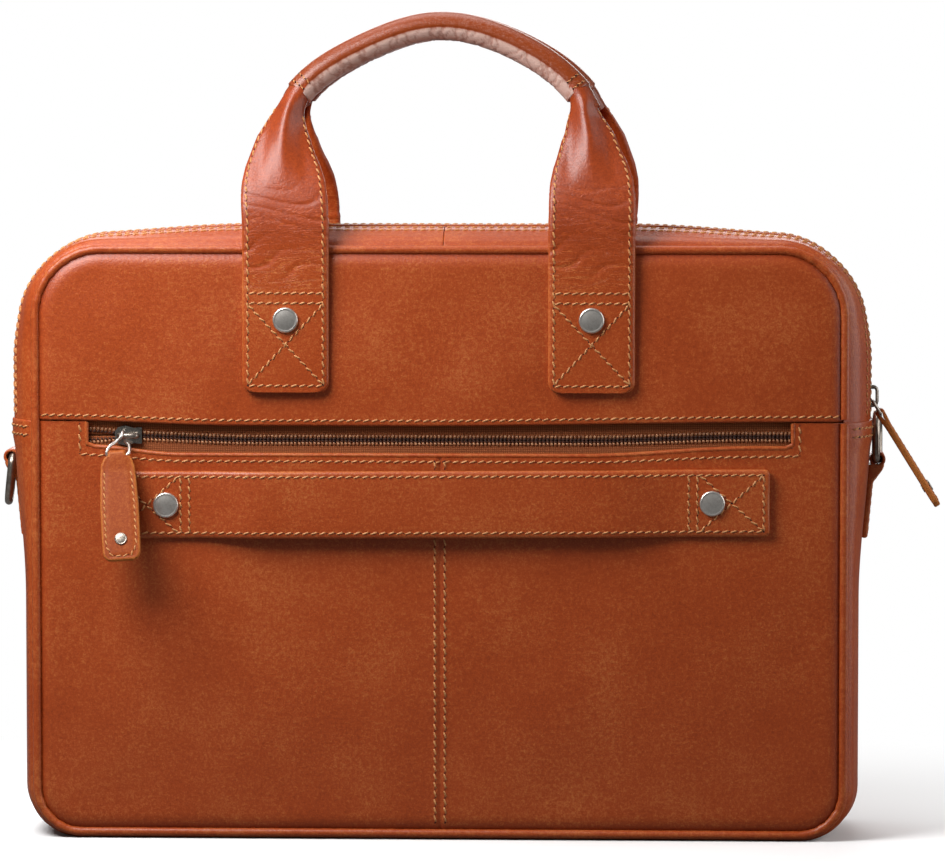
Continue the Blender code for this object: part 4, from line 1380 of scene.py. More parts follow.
@dataclass
class MainZip:
    """Zip of the mouth, over the top from side to side."""

    y: float = -11 * MM
    depth: float = 2.6 * MM
    tape: float = 0.6 * MM

    def build(self) -> None:
        """Add tapes and coils."""
        chain = CoilChain()
        run = SHAPE.upper_rim(SHAPE.seam + 0.6 * MM, 2 * MM)
        lengths = lengths_along(run[:, :2])
        fine = np.arange(0.0, lengths[-1], chain.pitch)
        part = sampled(fine, lengths, run)
        rise = SHAPE.gusset_step + part[:, 4] * (1 - abs(self.y / SHAPE.gusset_y) ** 4) - self.depth
        normal = unit(np.stack([part[:, 2], np.zeros(len(fine)), part[:, 3]], -1))
        points = np.stack([part[:, 0], np.full(len(fine), self.y), part[:, 1]], -1) + normal * rise[:, None]
        for word, sign, hold in (("front", -1, MOUTH), ("back", 1, CASE)):
            side = np.tile([0.0, float(sign), 0.0], (len(fine), 1))
            pale, dark = chain.half(points + normal * 0.2 * MM, normal, side)
            piece(f"main_zip_turns_{word}", pale, PALE_COIL, hold, (f"main_zip_coil_{word}",))
            # The core's dark turns are painted shade where the halves meet.
            piece(f"main_zip_core_{word}", dark, SHADE_COIL, hold)
            depths = self.y + sign * np.array([0.3, 1.4, 3.0, 5.0, 7.5, 10, 12.4]) * MM
            grid = SHAPE.band(run, depths, inset=self.depth)
            mesh = sheet(grid, self.tape, flip=sign < 0)
            piece(f"main_zip_cloth_{word}", mesh, TAPE, hold, (f"main_zip_tape_{word}",))


def place_frame(origin: Sequence[float], x_axis: Sequence[float], y_axis: Sequence[float]) -> Matrix:
    """Give the matrix of a frame from its origin and first two axes."""
    across = Vector(x_axis).normalized()
    out = across.cross(Vector(y_axis)).normalized()
    turn = Matrix((across, out.cross(across), out)).transposed().to_4x4()
    return Matrix.Translation(Vector(origin)) @ turn


def moved(mesh: Mesh, place: Matrix) -> Mesh:
    """Move a mesh from a frame to the world."""
    return carried(mesh[0], place), mesh[1]


def round_loop(knots: Sequence[Sequence[float]], steps: int = 8) -> Array:
    """Give a closed smooth curve through points.

    Args:
        knots: The points in order.
        steps: Points of the curve from each knot to the next one.

    Returns:
        Points of the curve.
    """
    places = np.array(knots, float)
    made = []
    for k in range(len(places)):
        before, here, there, after = (places[(k + i - 1) % len(places)] for i in range(4))
        square = 2 * before - 5 * here + 4 * there - after
        cube = 3 * here - before - 3 * there + after
        for t in np.arange(steps) / steps:
            made.append(0.5 * (2 * here + (there - before) * t + square * t**2 + cube * t**3))
    return np.array(made)


@dataclass
class Pull:
    """Leather pull on a wire loop.

    Its frame has x outwards, y up and z across, with the bar at the origin.
    """

    word: str
    place: Matrix
    length: float = 52.8 * MM
    thickness: float = 3.4 * MM
    fold: float = 2.3 * MM
    bore: float = 0.9 * MM
    top_half: float = 4.3 * MM
    corner: float = 4.2 * MM
    rounding: float = 1.2 * MM
    stitch_gap: float = 2.0 * MM
    rivet_rise: float = 10.5 * MM

    def half_width(self, down: Any) -> Any:
        """Give half the leaf's width at a distance below the bar."""
        stops = np.array([0.0, 0.9, 1.5, 5.0, 12.0, 26.0, 42.0, 53.0]) * MM
        body = np.interp(down, stops, np.array([4.3, 4.3, 6.2, 8.0, 8.6, 9.2, 9.2, 8.8]) * MM)
        return body - rounded(self.length - down, self.corner)

    def edge(self, down: Array, across: Array) -> Array:
        """Give the distance from the leaf's edge."""
        return np.minimum(self.half_width(down) - np.abs(across), self.length - down)

    def surface(self, down: Array, across: Array) -> Array:
        """Give points of the outer face in the pull's frame, thicker where it folds round the bar."""
        swell = (self.fold - self.thickness / 2) * smooth((9 * MM - down) / (9 * MM))
        edge = self.edge(down, across)
        press = bell(edge - self.stitch_gap, 0.9 * MM) * smooth(down / (4 * MM))
        out = self.thickness / 2 + swell - rounded(edge, self.rounding) - 0.25 * MM * press
        return np.stack([out, -down, across], -1)

    def world(self, points: Array) -> Array:
        """Move points from the pull's frame to the world."""
        return carried(points, self.place)

    def build(self) -> None:
        """Add the folded leaf, its stitching and its rivet."""
        hold = Hold(f"{self.word}_pull")
        tail = self.length - corner_steps(self.corner, 11)[::-1]
        body = np.linspace(6 * MM, self.length - self.corner - 1 * MM, 28)
        down = np.concatenate([np.array([0.0, 0.5, 0.9, 1.2, 1.5, 2.2, 3.2, 4.4]) * MM, body, tail])
        share = spaced(-1.0, 1.0, 0.1, 0.16)
        places = repeated(down, len(share))
        across = self.half_width(places) * share[None]
        leaf = self.surface(places, across)
        gap = self.bore * (1 - smooth(places / (4 * MM))) + 0.03 * MM
        inner = np.stack([gap, -places, across], -1)
        turns = np.linspace(0, math.pi, 21)[1:-1]
        over = repeated(turns, len(share))
        wide = self.top_half * np.broadcast_to(share[None], over.shape)
        radius = self.fold - rounded(self.top_half - np.abs(wide), self.rounding)
        bend = np.stack([radius * np.cos(over), radius * np.sin(over), wide], -1)
        hole = np.stack([self.bore * np.cos(over), self.bore * np.sin(over), wide], -1)
        mirror = np.array([-1.0, 1.0, 1.0])
        outside = np.concatenate([leaf[::-1], bend, leaf * mirror])
        inside = np.concatenate([inner[::-1], hole, inner * mirror])
        tone = 0.02 + 0.5 * np.clip(1 - self.edge(places, across) / (1.3 * MM), 0, 1)
        tone = np.concatenate([tone[::-1].ravel(), np.full(over.size, 0.12), tone.ravel()])
        tone = np.concatenate([tone, np.full(tone.size, 0.5)])
        mesh = slab(self.world(outside), self.world(inside))
        nodes = (f"{self.word}_pull_tab",)
        piece(f"{self.word}_pull_leather", mesh, PULL_LEATHER, hold, nodes, tone=tone, bent=0.8)
        self.sew(hold)
        seat = (self.thickness / 2, self.rivet_rise - self.length, 0)
        seat = self.place @ place_frame(seat, (0, 1, 0), (0, 0, 1))
        sizes = {"cap": 3.0, "height": 0.9, "post": 1.0, "washer": 2.0, "washer_height": 0.5, "slack": -0.1}
        sizes = {key: value * MM for key, value in sizes.items()}
        Rivet(f"{self.word}_pull_rivet", hold, seat, self.thickness, finish=PEWTER, **sizes).build()

    def sew(self, hold: Hold) -> None:
        """Add the stitching round the leaf.

        Args:
            hold: How the leaf moves.
        """
        rows = Stitching(f"{self.word}_pull", hold, pitch=3.4 * MM, thread=0.36 * MM)
        gap = self.stitch_gap
        down = np.linspace(8.5 * MM, self.length - 7.0 * MM, 24)
        right = [(d, float(self.half_width(d)) - gap) for d in down]
        low = self.length - gap
        turn = float(self.half_width(self.length - self.corner)) - 4.2 * MM
        knots = right + [(low - 0.8 * MM, turn), (low, 0.0), (low - 0.8 * MM, -turn)]
        knots += [(d, -c) for d, c in reversed(right)]
        rows.run(lambda a, b: self.world(self.surface(a, b)), knots, flip=True)
        rows.build()


# Rings of a rivet's cap, from its plain domed face over its rolled rim: shares of radius and height.
CAP_RINGS = (
    (0.3, 0.89),
    (0.6, 0.83),
    (0.76, 0.75),
    (0.8, 0.74),
    (0.85, 0.8),
    (0.91, 0.78),
    (0.96, 0.66),
    (0.99, 0.45),
    (1.0, 0.2),
)
PINPOINT = 0.02 * MM


@dataclass
class Rivet:
    """Capped rivet. Its frame has z outwards and z = 0 on the outer face."""

    name: str
    hold: Hold
    place: Matrix
    grip: float
    cap: float = 6.2 * MM
    height: float = 2.2 * MM
    post: float = 1.6 * MM
    washer: float = 4.2 * MM
    washer_height: float = 0.8 * MM
    slack: float = 0.3 * MM
    finish: Finish = NICKEL

    def build(self) -> None:
        """Add the rivet: a plain domed face inside a rolled rim."""
        cap, tall = self.cap, self.height
        back = -self.grip - self.slack
        end = back - self.washer_height
        profile = [(PINPOINT, 0.9 * tall)] + [(wide * cap, high * tall) for wide, high in CAP_RINGS]
        profile += [(0.98 * cap, -0.1 * MM), (self.post, -0.1 * MM), (self.post, back)]
        profile += [(self.washer, back), (self.washer, end), (PINPOINT, end)]
        mesh = turned(profile, self.place)
        nodes = (self.name,)
        piece(f"{self.name}_metal", mesh, self.finish, self.hold, nodes, sharp=60)


@dataclass
class Sliders:
    """Both zip sliders with their wire loops and pulls."""

    wire: float = 0.8 * MM
    leg: float = 5.4 * MM
    front_at: tuple = (-150 * MM, -36.8 * MM, 195.75 * MM)
    bridge: float = 5.75 * MM
    front_drop: float = 8.7 * MM
    front_bar: float = 11.552 * MM
    front_lean: float = 20.0
    aside: tuple = (2.3 * MM, 4.5 * MM)
    twist: float = 4.5
    around: float = 2.1 * MM
    main_crown: tuple = (209.087 * MM, -11 * MM, 211.7 * MM)
    main_at: tuple = (205.287 * MM, -11 * MM, 214 * MM)
    main_reach: float = 7.0 * MM
    main_lean: float = 32.0
    cast_edge: float = 0.32 * MM

    def build(self) -> None:
        """Add the sliders' finish, the wires and the pulls."""
        for name in ("front_zip_slider", "main_zip_slider"):
            node = frame["nodes"][name]
            node.data.materials.clear()
            node.data.materials.append(GUNMETAL.material())
            bevel = node.modifiers.new("cast edge", "BEVEL")
            bevel.width = self.cast_edge
            bevel.segments = 3
            bevel.limit_method = "ANGLE"
        self.build_front()
        self.build_main()

    def build_front(self) -> None:
        """Add the front wire and pull."""
        at = place_frame(self.front_at, (1, 0, 0), (0, 0, 1))
        self.build_bridge("front", at)
        leg, drop, bar, axis, turn = self.leg, self.front_drop, self.front_bar, self.bridge, self.around
        knots = [
            (-0.8 * leg, -drop, bar),
            (0.0, -drop, bar),
            (0.8 * leg, -drop, bar),
            (leg, -0.84 * drop, 0.9 * bar + 0.1 * axis),
            (0.8 * leg, -0.52 * drop, 0.35 * bar + 0.65 * axis),
            (0.3 * leg, -1.15 * turn, axis - 0.55 * turn),
            (0.1 * leg, 0.0, axis - turn),
            (0.0, turn, axis),
            (-0.1 * leg, 0.0, axis + turn),
            (-0.4 * leg, -1.15 * turn, axis + 1.1 * turn),
            (-0.85 * leg, -0.52 * drop, 0.8 * bar + 0.2 * axis),
            (-leg, -0.84 * drop, bar),
        ]
        path = round_loop(knots)
        near, far = self.aside
        path[:, 0] -= near + (far - near) * np.clip(-path[:, 1] / drop, 0, 1)
        mesh = moved(tube(path, self.wire, (0.3, 0.5, 0.8), 10, cyclic=True), at)
        piece("front_pull_loop", mesh, NICKEL, Hold("front_wire"), ("front_pull_wire",))
        lean = math.radians(self.front_lean)
        origin = at @ Vector((-far, -drop, bar))
        place = place_frame(origin, (0, -math.cos(lean), math.sin(lean)), (0, math.sin(lean), math.cos(lean)))
        Pull("front", place @ Matrix.Rotation(math.radians(self.twist), 4, "X")).build()

    def build_bridge(self, word: str, at: Matrix) -> None:
        """Add a slider's cast bridge, a rounded arch over its plate.

        Args:
            word: Which slider.
            at: The slider's frame, with x along the zip and z outwards.
        """
        knots = [(-4.7, 1.9), (-4.75, 3.2), (-4.5, 4.6), (-3.7, 5.6), (-2.4, 5.95), (0.0, 6.0)]
        knots += [(-x, z) for x, z in knots[-2::-1]]
        path = np.array([(x * MM, 0.0, z * MM) for x, z in knots])
        verts, faces = tube(path, 0.85 * MM, (0, 1, 0), 14)
        verts[:, 1] *= 1.5
        mesh = moved((verts, faces), at)
        piece(f"{word}_slider_bridge", mesh, PEWTER, Hold(f"{word}_slider"))

    def build_main(self) -> None:
        """Add the main wire and pull."""
        lean = math.radians(self.main_lean)
        hang = (-math.sin(lean), 0, math.cos(lean))
        place = place_frame(self.main_crown, (math.cos(lean), 0, math.sin(lean)), hang)
        self.build_bridge("main", place_frame(self.main_at, (0, 0, 1), (0, -1, 0)))
        leg, reach = self.leg, self.main_reach
        half = [(0, -0.8), (0, 0), (0, 0.8), (0.12, 1), (0.5, 1), (0.88, 1)]
        shares = half + [(1 - down, -across) for down, across in half]
        knots = [(0, -down * reach, across * leg) for down, across in shares]
        mesh = moved(tube(round_loop(knots), self.wire, (1, 0, 0), 10, cyclic=True), place)
        piece("main_pull_loop", mesh, PEWTER, Hold("main_wire"), ("main_pull_wire",))
        Pull("main", place @ Matrix.Translation((0, -reach, 0))).build()


# Straps, handles and rings


@dataclass
class LuggageStrap:
    """Strap across the front, sewn and riveted at both ends, that slips over a suitcase handle."""

    length: float = 318 * MM
    width: float = 32.7 * MM
    height: float = 163.4 * MM
    thickness: float = 3.6 * MM
    sewn: float = 119 * MM
    stand_off: float = 4.8 * MM
    back: float = 40.5 * MM
    rivet_x: float = 131.5 * MM
    corner: float = 2.6 * MM
    slope: float = 0.006
    stitch_inset: float = 2.8 * MM
    box_rows: tuple = (120.2 * MM, 124.4 * MM)
    box_inner: float = 125.6 * MM

    def surface(self, x: Array, q: Array) -> Array:
        """Give points of the outer face for places along and across the strap."""
        share = smooth(3 * (self.sewn - np.abs(x)) / self.sewn)
        soft = 0.3 * MM * (1 - (q / (self.width / 2)) ** 4) + 0.12 * MM * np.sin(x / (9 * MM)) * share
        y = -(self.back + self.thickness + self.stand_off * share + soft)
        return np.stack([x, y, self.height + q + x * self.slope], -1)

    def build(self) -> None:
        """Add the strap, its stitching and its rivets."""
        half = self.length / 2
        ends = corner_steps(self.corner, 7)
        body = np.linspace(-half + 6 * MM, half - 6 * MM, 80)
        along = np.concatenate([-half + ends, body, half - ends[::-1]])
        share = spaced(-1.0, 1.0, 0.09, 0.11)
        wide = self.width / 2 - rounded(half - np.abs(along), self.corner)
        places = repeated(along, len(share))
        grid = self.surface(places, wide[:, None] * share[None])
        mesh = sheet(grid, self.thickness)
        tone = edge_tone(grid, 1.5 * MM, 0.2)
        piece("luggage_strap_leather", mesh, BODY_LEATHER, CASE, ("luggage_strap",), tone=tone)
        self.sew()
        for side, word in HANDS:
            x = side * self.rivet_x
            point = self.surface(np.array([x]), np.array([0.0]))[0]
            seat = place_frame(point, (1, 0, 0), (0, 0, 1))
            Rivet(f"luggage_rivet_{word}", CASE, seat, self.thickness + 2.5 * MM).build()

    def sew(self) -> None:
        """Add the edge rows, the double rows and the crossed boxes at both ends."""
        rows = Stitching("luggage_strap", CASE)
        end = self.length / 2 - self.stitch_inset
        edge = self.width / 2 - self.stitch_inset
        for q in (-edge, edge):
            rows.run(self.surface, [(-end, q), (end, q)])
        for side in (-1, 1):
            for x in (*self.box_rows, end):
                rows.run(self.surface, [(side * x, -edge), (side * x, edge)])
            for q in (-edge, edge):
                rows.run(self.surface, [(side * self.box_inner, q), (side * end, -q)])
        rows.build()


@dataclass
class Spine:
    """Middle line of a handle strap: one row for each station from its lower end."""

    length: Array
    middle: Array
    across: Array
    out: Array
    fold: Array
    half: Array


@dataclass
class Handle:
    """Rolled handle: two straps, flat where they are sewn on, that fold round a cord into one grip."""

    word: str
    front: int
    hold: Hold
    span: float = 147 * MM
    width: float = 42 * MM
    thickness: float = 4.2 * MM
    face: float = 41.0 * MM
    hinge: float = 264 * MM
    low: float = 217.2 * MM
    straight: float = 293.5 * MM
    corner: float = 5 * MM
    grip: float = 7.0 * MM
    neck: float = 6.5 * MM
    neck_leather: float = 2.2 * MM
    grip_top: float = 392.8 * MM
    grip_rise: float = 32.8 * MM
    grip_chord: float = 69 * MM
    grip_spread: float = 9.0 * MM
    grip_lean: float = 0.26
    haunch: tuple = (0.0, 0.0)
    right_shift: tuple = (0.0, 0.0)
    rivet_drop: float = 12 * MM
    stitch_inset: float = 2.9 * MM

    def grip_point(self, angle: Any) -> Array:
        """Give points on the grip's middle for angles from its top, with the set that use gave it."""
        arc = self.grip_arc()
        z = self.grip_top - arc + arc * np.cos(angle)
        y = self.front * (self.grip_spread + (self.grip_top - z) * self.grip_lean)
        share = angle / self.end_angle()
        dip = np.where(share < 0, *self.haunch) * np.sin(math.pi * np.clip(np.abs(share), 0, 1)) ** 2
        x = arc * np.sin(angle) - self.right_shift[0] * smooth(share)
        return np.stack([x, y, z - dip], -1)

    def end_angle(self) -> float:
        """Give the angle of the grip's ends."""
        return math.asin(self.grip_chord / self.grip_arc())

    def spine(self, side: int) -> Spine:
        """Give the strap's middle line.

        Args:
            side: -1 for the left strap and 1 for the right one.

        Returns:
            The line, with its folding into a roll and half its width.
        """
        x = side * self.span / 2
        y = self.front * (self.face + 0.3 * MM + self.thickness / 2)
        angle = side * self.end_angle()
        end = self.grip_point(np.array([angle]))[0]
        ahead = unit(self.grip_point(np.array([angle * 0.94]))[0] - end)
        end = end + ahead * 5 * MM
        start = np.array([x, y, self.straight])
        pace = np.linalg.norm(end - start)
        rows = [np.array([x, y, z]) for z in np.linspace(self.low, self.straight, 30)[:-1]]
        for t in np.linspace(0, 1, 44):
            near, leave = 2 * t**3 - 3 * t**2 + 1, t**3 - 2 * t**2 + t
            far, arrive = 3 * t**2 - 2 * t**3, t**3 - t**2
            rows.append(start * near + np.array([0, 0, pace]) * leave + end * far + ahead * pace * arrive)
        middle = np.array(rows)
        if side > 0:
            z = middle[:, 2]
            shift = smooth((z - 300 * MM) / (36 * MM)) * smooth((360 * MM - z) / (14 * MM))
            middle[:, 0] -= self.right_shift[1] * shift
        along = unit(np.gradient(middle, axis=0))
        across = unit(np.array([1.0, 0, 0]) - along * along[:, :1])
        out = np.cross(along, across) * self.front
        # Heights in millimetres, and there the share of the roll and the width.
        height = middle[:, 2] / MM
        fold = np.interp(height, [306, 316, 327, 340, 347, 353, 360], [0, 0.03, 0.13, 0.29, 0.5, 0.79, 1.0])
        wide = np.interp(height, [310, 320, 327, 340, 347, 353, 360], [42, 41, 38.5, 31, 26, 22.5, 22]) * MM
        return Spine(lengths_along(middle), middle, across, out, fold, wide / 2)

    def leather(self, fold: Array) -> Array:
        """Give the strap's thickness, pared down where it folds into a roll."""
        return self.thickness + (self.neck_leather - self.thickness) * smooth(fold / 0.8)

    def surface(self, line: Spine) -> Surface:
        """Give the strap's outer face.

        Args:
            line: Stations from the spine.

        Returns:
            Function of the length from the lower end and the place across.
        """
        curl = self.neck - self.neck_leather / 2

        def face(s: Array, q: Array) -> Array:
            """Give points of the face.

            Args:
                s: Lengths from the lower end.
                q: Places across.

            Returns:
                The points.
            """
            shape = np.shape(s)
            s, q = np.ravel(s), np.ravel(np.broadcast_to(q, shape))
            fold = np.interp(s, line.length, line.fold)
            bend = np.maximum(fold / curl, 0.05)
            half = np.interp(s, line.length, line.half)
            turn = np.clip(q * bend, -math.pi + 0.1, math.pi - 0.1)
            thick = self.leather(fold)
            aside = np.sin(turn) / bend
            back = (1 - np.cos(turn)) / bend
            ridge = 1.7 * MM * smooth(fold / 0.3) * smooth((1.05 - fold) / 0.35) * bell(q, 3.4 * MM)
            dent = 1.1 * MM * smooth(fold / 0.15) * smooth((0.85 - fold) / 0.4)
            dent = dent * bell(np.abs(q) - 0.55 * half, 3.6 * MM)
            rows = (line.middle, line.across, line.out)
            middle, across, out = (sampled(s, line.length, values) for values in rows)
            z = middle[:, 2]
            slack = smooth((z - 268 * MM) / (10 * MM)) * smooth((322 * MM - z) / (14 * MM))
            wander = 2.0 * np.sin(q / (9 * MM) + z / (8 * MM))
            cut = bell(np.sin(z / (2.3 * MM) + wander), 0.34)
            ripple = -0.42 * MM * slack * cut * (0.6 + 0.4 * np.sin(z / (5.3 * MM) + q / (11 * MM)))
            plump = 0.35 * MM * (1 - np.clip(q / half, -1, 1) ** 4)
            height = thick / 2 + curl * fold - back + ridge - dent + ripple + plump
            points = middle + across * aside[:, None] + out * height[:, None]
            return points.reshape(*shape, 3)

        return face

    def build_strap(self, side: int, hand: str) -> None:
        """Add one strap with its stitching and rivet.

        Args:
            side: -1 for the left strap and 1 for the right one.
            hand: Word for that side.
        """
        line = self.spine(side)
        face = self.surface(line)
        total = line.length[-1]
        start = corner_steps(self.corner, 8)
        free = (45 * MM, 112 * MM)
        steps = [np.arange(self.corner + 1.2 * MM, free[0], 1.3 * MM), np.arange(*free, 0.65 * MM)]
        s = np.concatenate([start, *steps, np.arange(free[1], total, 1.3 * MM), [total]])
        wide = np.interp(s, line.length, line.half) - rounded(s, self.corner)
        share = spaced(-1.0, 1.0, 0.06, 0.1)
        places = repeated(s, len(share))
        across = wide[:, None] * share[None]
        grid = face(places, across)
        fold = np.interp(s, line.length, line.fold)
        mesh = sheet(grid, self.leather(fold)[:, None], flip=self.front < 0, ends=False)
        z = np.interp(s, line.length, line.middle[:, 2])
        shade = -0.24 * smooth((z - 266 * MM) / (40 * MM))
        tone = edge_tone(grid, 1.4 * MM, 0.22, (False, True)) + np.tile(np.repeat(shade, len(share)), 2)
        slack = smooth((z - 262 * MM) / (8 * MM)) * smooth((330 * MM - z) / (20 * MM))
        bent = np.tile(np.repeat(slack, len(share)), 2)
        nodes = (f"{self.word}_handle_tab_{hand}", f"{self.word}_handle_strap_{hand}")
        name = f"{self.word}_handle_{hand}"
        piece(f"{name}_leather", mesh, STRAP_LEATHER, self.hold, nodes, tone=tone, bent=bent)
        self.sew(name, face, line)
        height = self.hinge - self.rivet_drop
        point = face(np.array([height - self.low]), np.array([0.0]))[0]
        seat = place_frame(point, (-self.front, 0, 0), (0, 0, 1))
        body = Hold(self.hold.body)
        Rivet(f"{self.word}_handle_rivet_{hand}", body, seat, self.thickness + 2.5 * MM).build()

    def sew(self, name: str, face: Surface, line: Spine) -> None:
        """Add a strap's stitching.

        Args:
            name: Name of the strap.
            face: Outer face of the strap.
            line: Stations from the spine.
        """
        rows = Stitching(name, self.hold)
        flip = self.front < 0
        edge = self.width / 2 - self.stitch_inset
        low = 3.2 * MM
        last = float(np.interp(0.72, line.fold, line.length))
        stops = np.linspace(low, last, 40)
        inside = np.interp(stops, line.length, line.half) - self.stitch_inset
        for sign in (-1, 1):
            rows.run(face, [(a, sign * b) for a, b in zip(stops, inside)], flip)
        rows.run(face, [(low, -edge), (low, edge)], flip)
        upper = self.hinge + 0.9 * MM - self.low
        lower = self.hinge - 3.9 * MM - self.low
        for s in (upper, lower):
            rows.run(face, [(s, -edge), (s, edge)], flip)
        for q in (-edge, edge):
            rows.run(face, [(low + 0.5 * MM, q), (lower - 0.6 * MM, -q)], flip)
        rows.build()

    def grip_arc(self) -> float:
        """Give the radius of the grip's arc."""
        return (self.grip_chord**2 + self.grip_rise**2) / (2 * self.grip_rise)

    def grip_face(self, length: Array, around: Array) -> Array:
        """Give points of the grip.

        Args:
            length: Distances along it from its top.
            around: Distances round it from its front, downwards first.

        Returns:
            The points.
        """
        angle = length / self.grip_arc()
        middle = self.grip_point(angle)
        along = unit(self.grip_point(angle + 0.002) - self.grip_point(angle - 0.002))
        outward = unit(np.array([0, float(self.front), 0]) - along * along[..., 1:2] * self.front)
        under = np.cross(along, outward)
        under = -under * np.sign(under[..., 2:3])
        turn = around / self.grip
        end = self.grip_arc() * self.end_angle()
        past = np.abs(length) - end
        radius = self.grip - 0.9 * MM * smooth((past + 1.0 * MM) / MM) - 1.2 * MM * smooth(past / (9 * MM))
        radius = radius - 0.3 * MM * self.pleats(length, around) * self.belly(turn)
        radius = radius - 0.35 * MM * self.lip(turn)
        away = outward * np.cos(turn)[..., None] + under * np.sin(turn)[..., None]
        return middle + away * radius[..., None]

    def belly(self, turn: Array) -> Array:
        """Give one on the pale inner band and zero elsewhere, for angles round the grip."""
        return smooth((np.sin(turn) - 0.04) / 0.1) * (np.cos(turn) > -0.35)

    def lip(self, turn: Array) -> Array:
        """Give one along the edge where the outer leather laps over the band."""
        return bell(np.sin(turn) - 0.06, 0.07) * (np.cos(turn) > 0)

    def pleats(self, length: Array, around: Array) -> Array:
        """Give the creases across the inner band.

        Args:
            length: Distances along the grip from its top.
            around: Distances round it from its front.

        Returns:
            One in a crease and zero elsewhere.
        """
        chance = np.random.default_rng(11)
        total = np.zeros(np.broadcast(length, around).shape)
        spots = chance.uniform(-74, 74, 54) * MM
        slants = chance.uniform(-0.9, 0.9, 54)
        widths = chance.uniform(0.35, 0.8, 54) * MM
        for spot, slant, width in zip(spots, slants, widths):
            bow = 0.7 * MM * np.sin(around / MM + spot / MM)
            total = total + bell(length - spot - slant * around - bow, width)
        return np.minimum(total, 1.0)

    def build_grip(self) -> None:
        """Add the rolled grip with its creased, pale inner band and the rows that close its ends."""
        end = self.grip_arc() * self.end_angle()
        tail = end + np.array([-4, -2, -1, -0.75, -0.5, -0.25, 0, 0.5, 3, 6, 10]) * MM
        length = np.concatenate([-tail[::-1], np.linspace(-end + 5 * MM, end - 5 * MM, 190), tail])
        around = np.linspace(0, 2 * math.pi, 48, endpoint=False) * self.grip
        places = np.meshgrid(length, around, indexing="ij")
        turn = places[1] / self.grip
        band = self.belly(turn)
        # The inner band is pale partly as lighter leather and partly as a painted reflection on the
        # underside; its creases are painted darker as shade, and the lap edge is darker.
        tone = 0.5 * band - 0.22 * band * self.pleats(*places) - 0.3 * self.lip(turn)
        tone = np.where(np.abs(places[0]) > end - 0.3 * MM, -0.05, tone)
        nodes = (f"{self.word}_handle_grip", f"{self.word}_handle_core")
        hold = Hold(f"{self.word}_handle")
        mesh = loft(self.grip_face(*places))
        piece(f"{self.word}_grip_leather", mesh, GRIP_LEATHER, hold, nodes, tone=tone.ravel())
        rows = Stitching(f"{self.word}_grip", hold, pitch=2.5 * MM, thread=0.28 * MM)
        for side in (-1, 1):
            for gap in (2.6 * MM, 6.8 * MM):
                knots = [(side * (end - gap), -1.1 * self.grip), (side * (end - gap), 0.1 * self.grip)]
                rows.run(self.grip_face, knots, flip=self.front > 0)
        rows.build()

    def build(self) -> None:
        """Add both straps and the grip."""
        for side, hand in HANDS:
            self.build_strap(side, hand)
        self.build_grip()


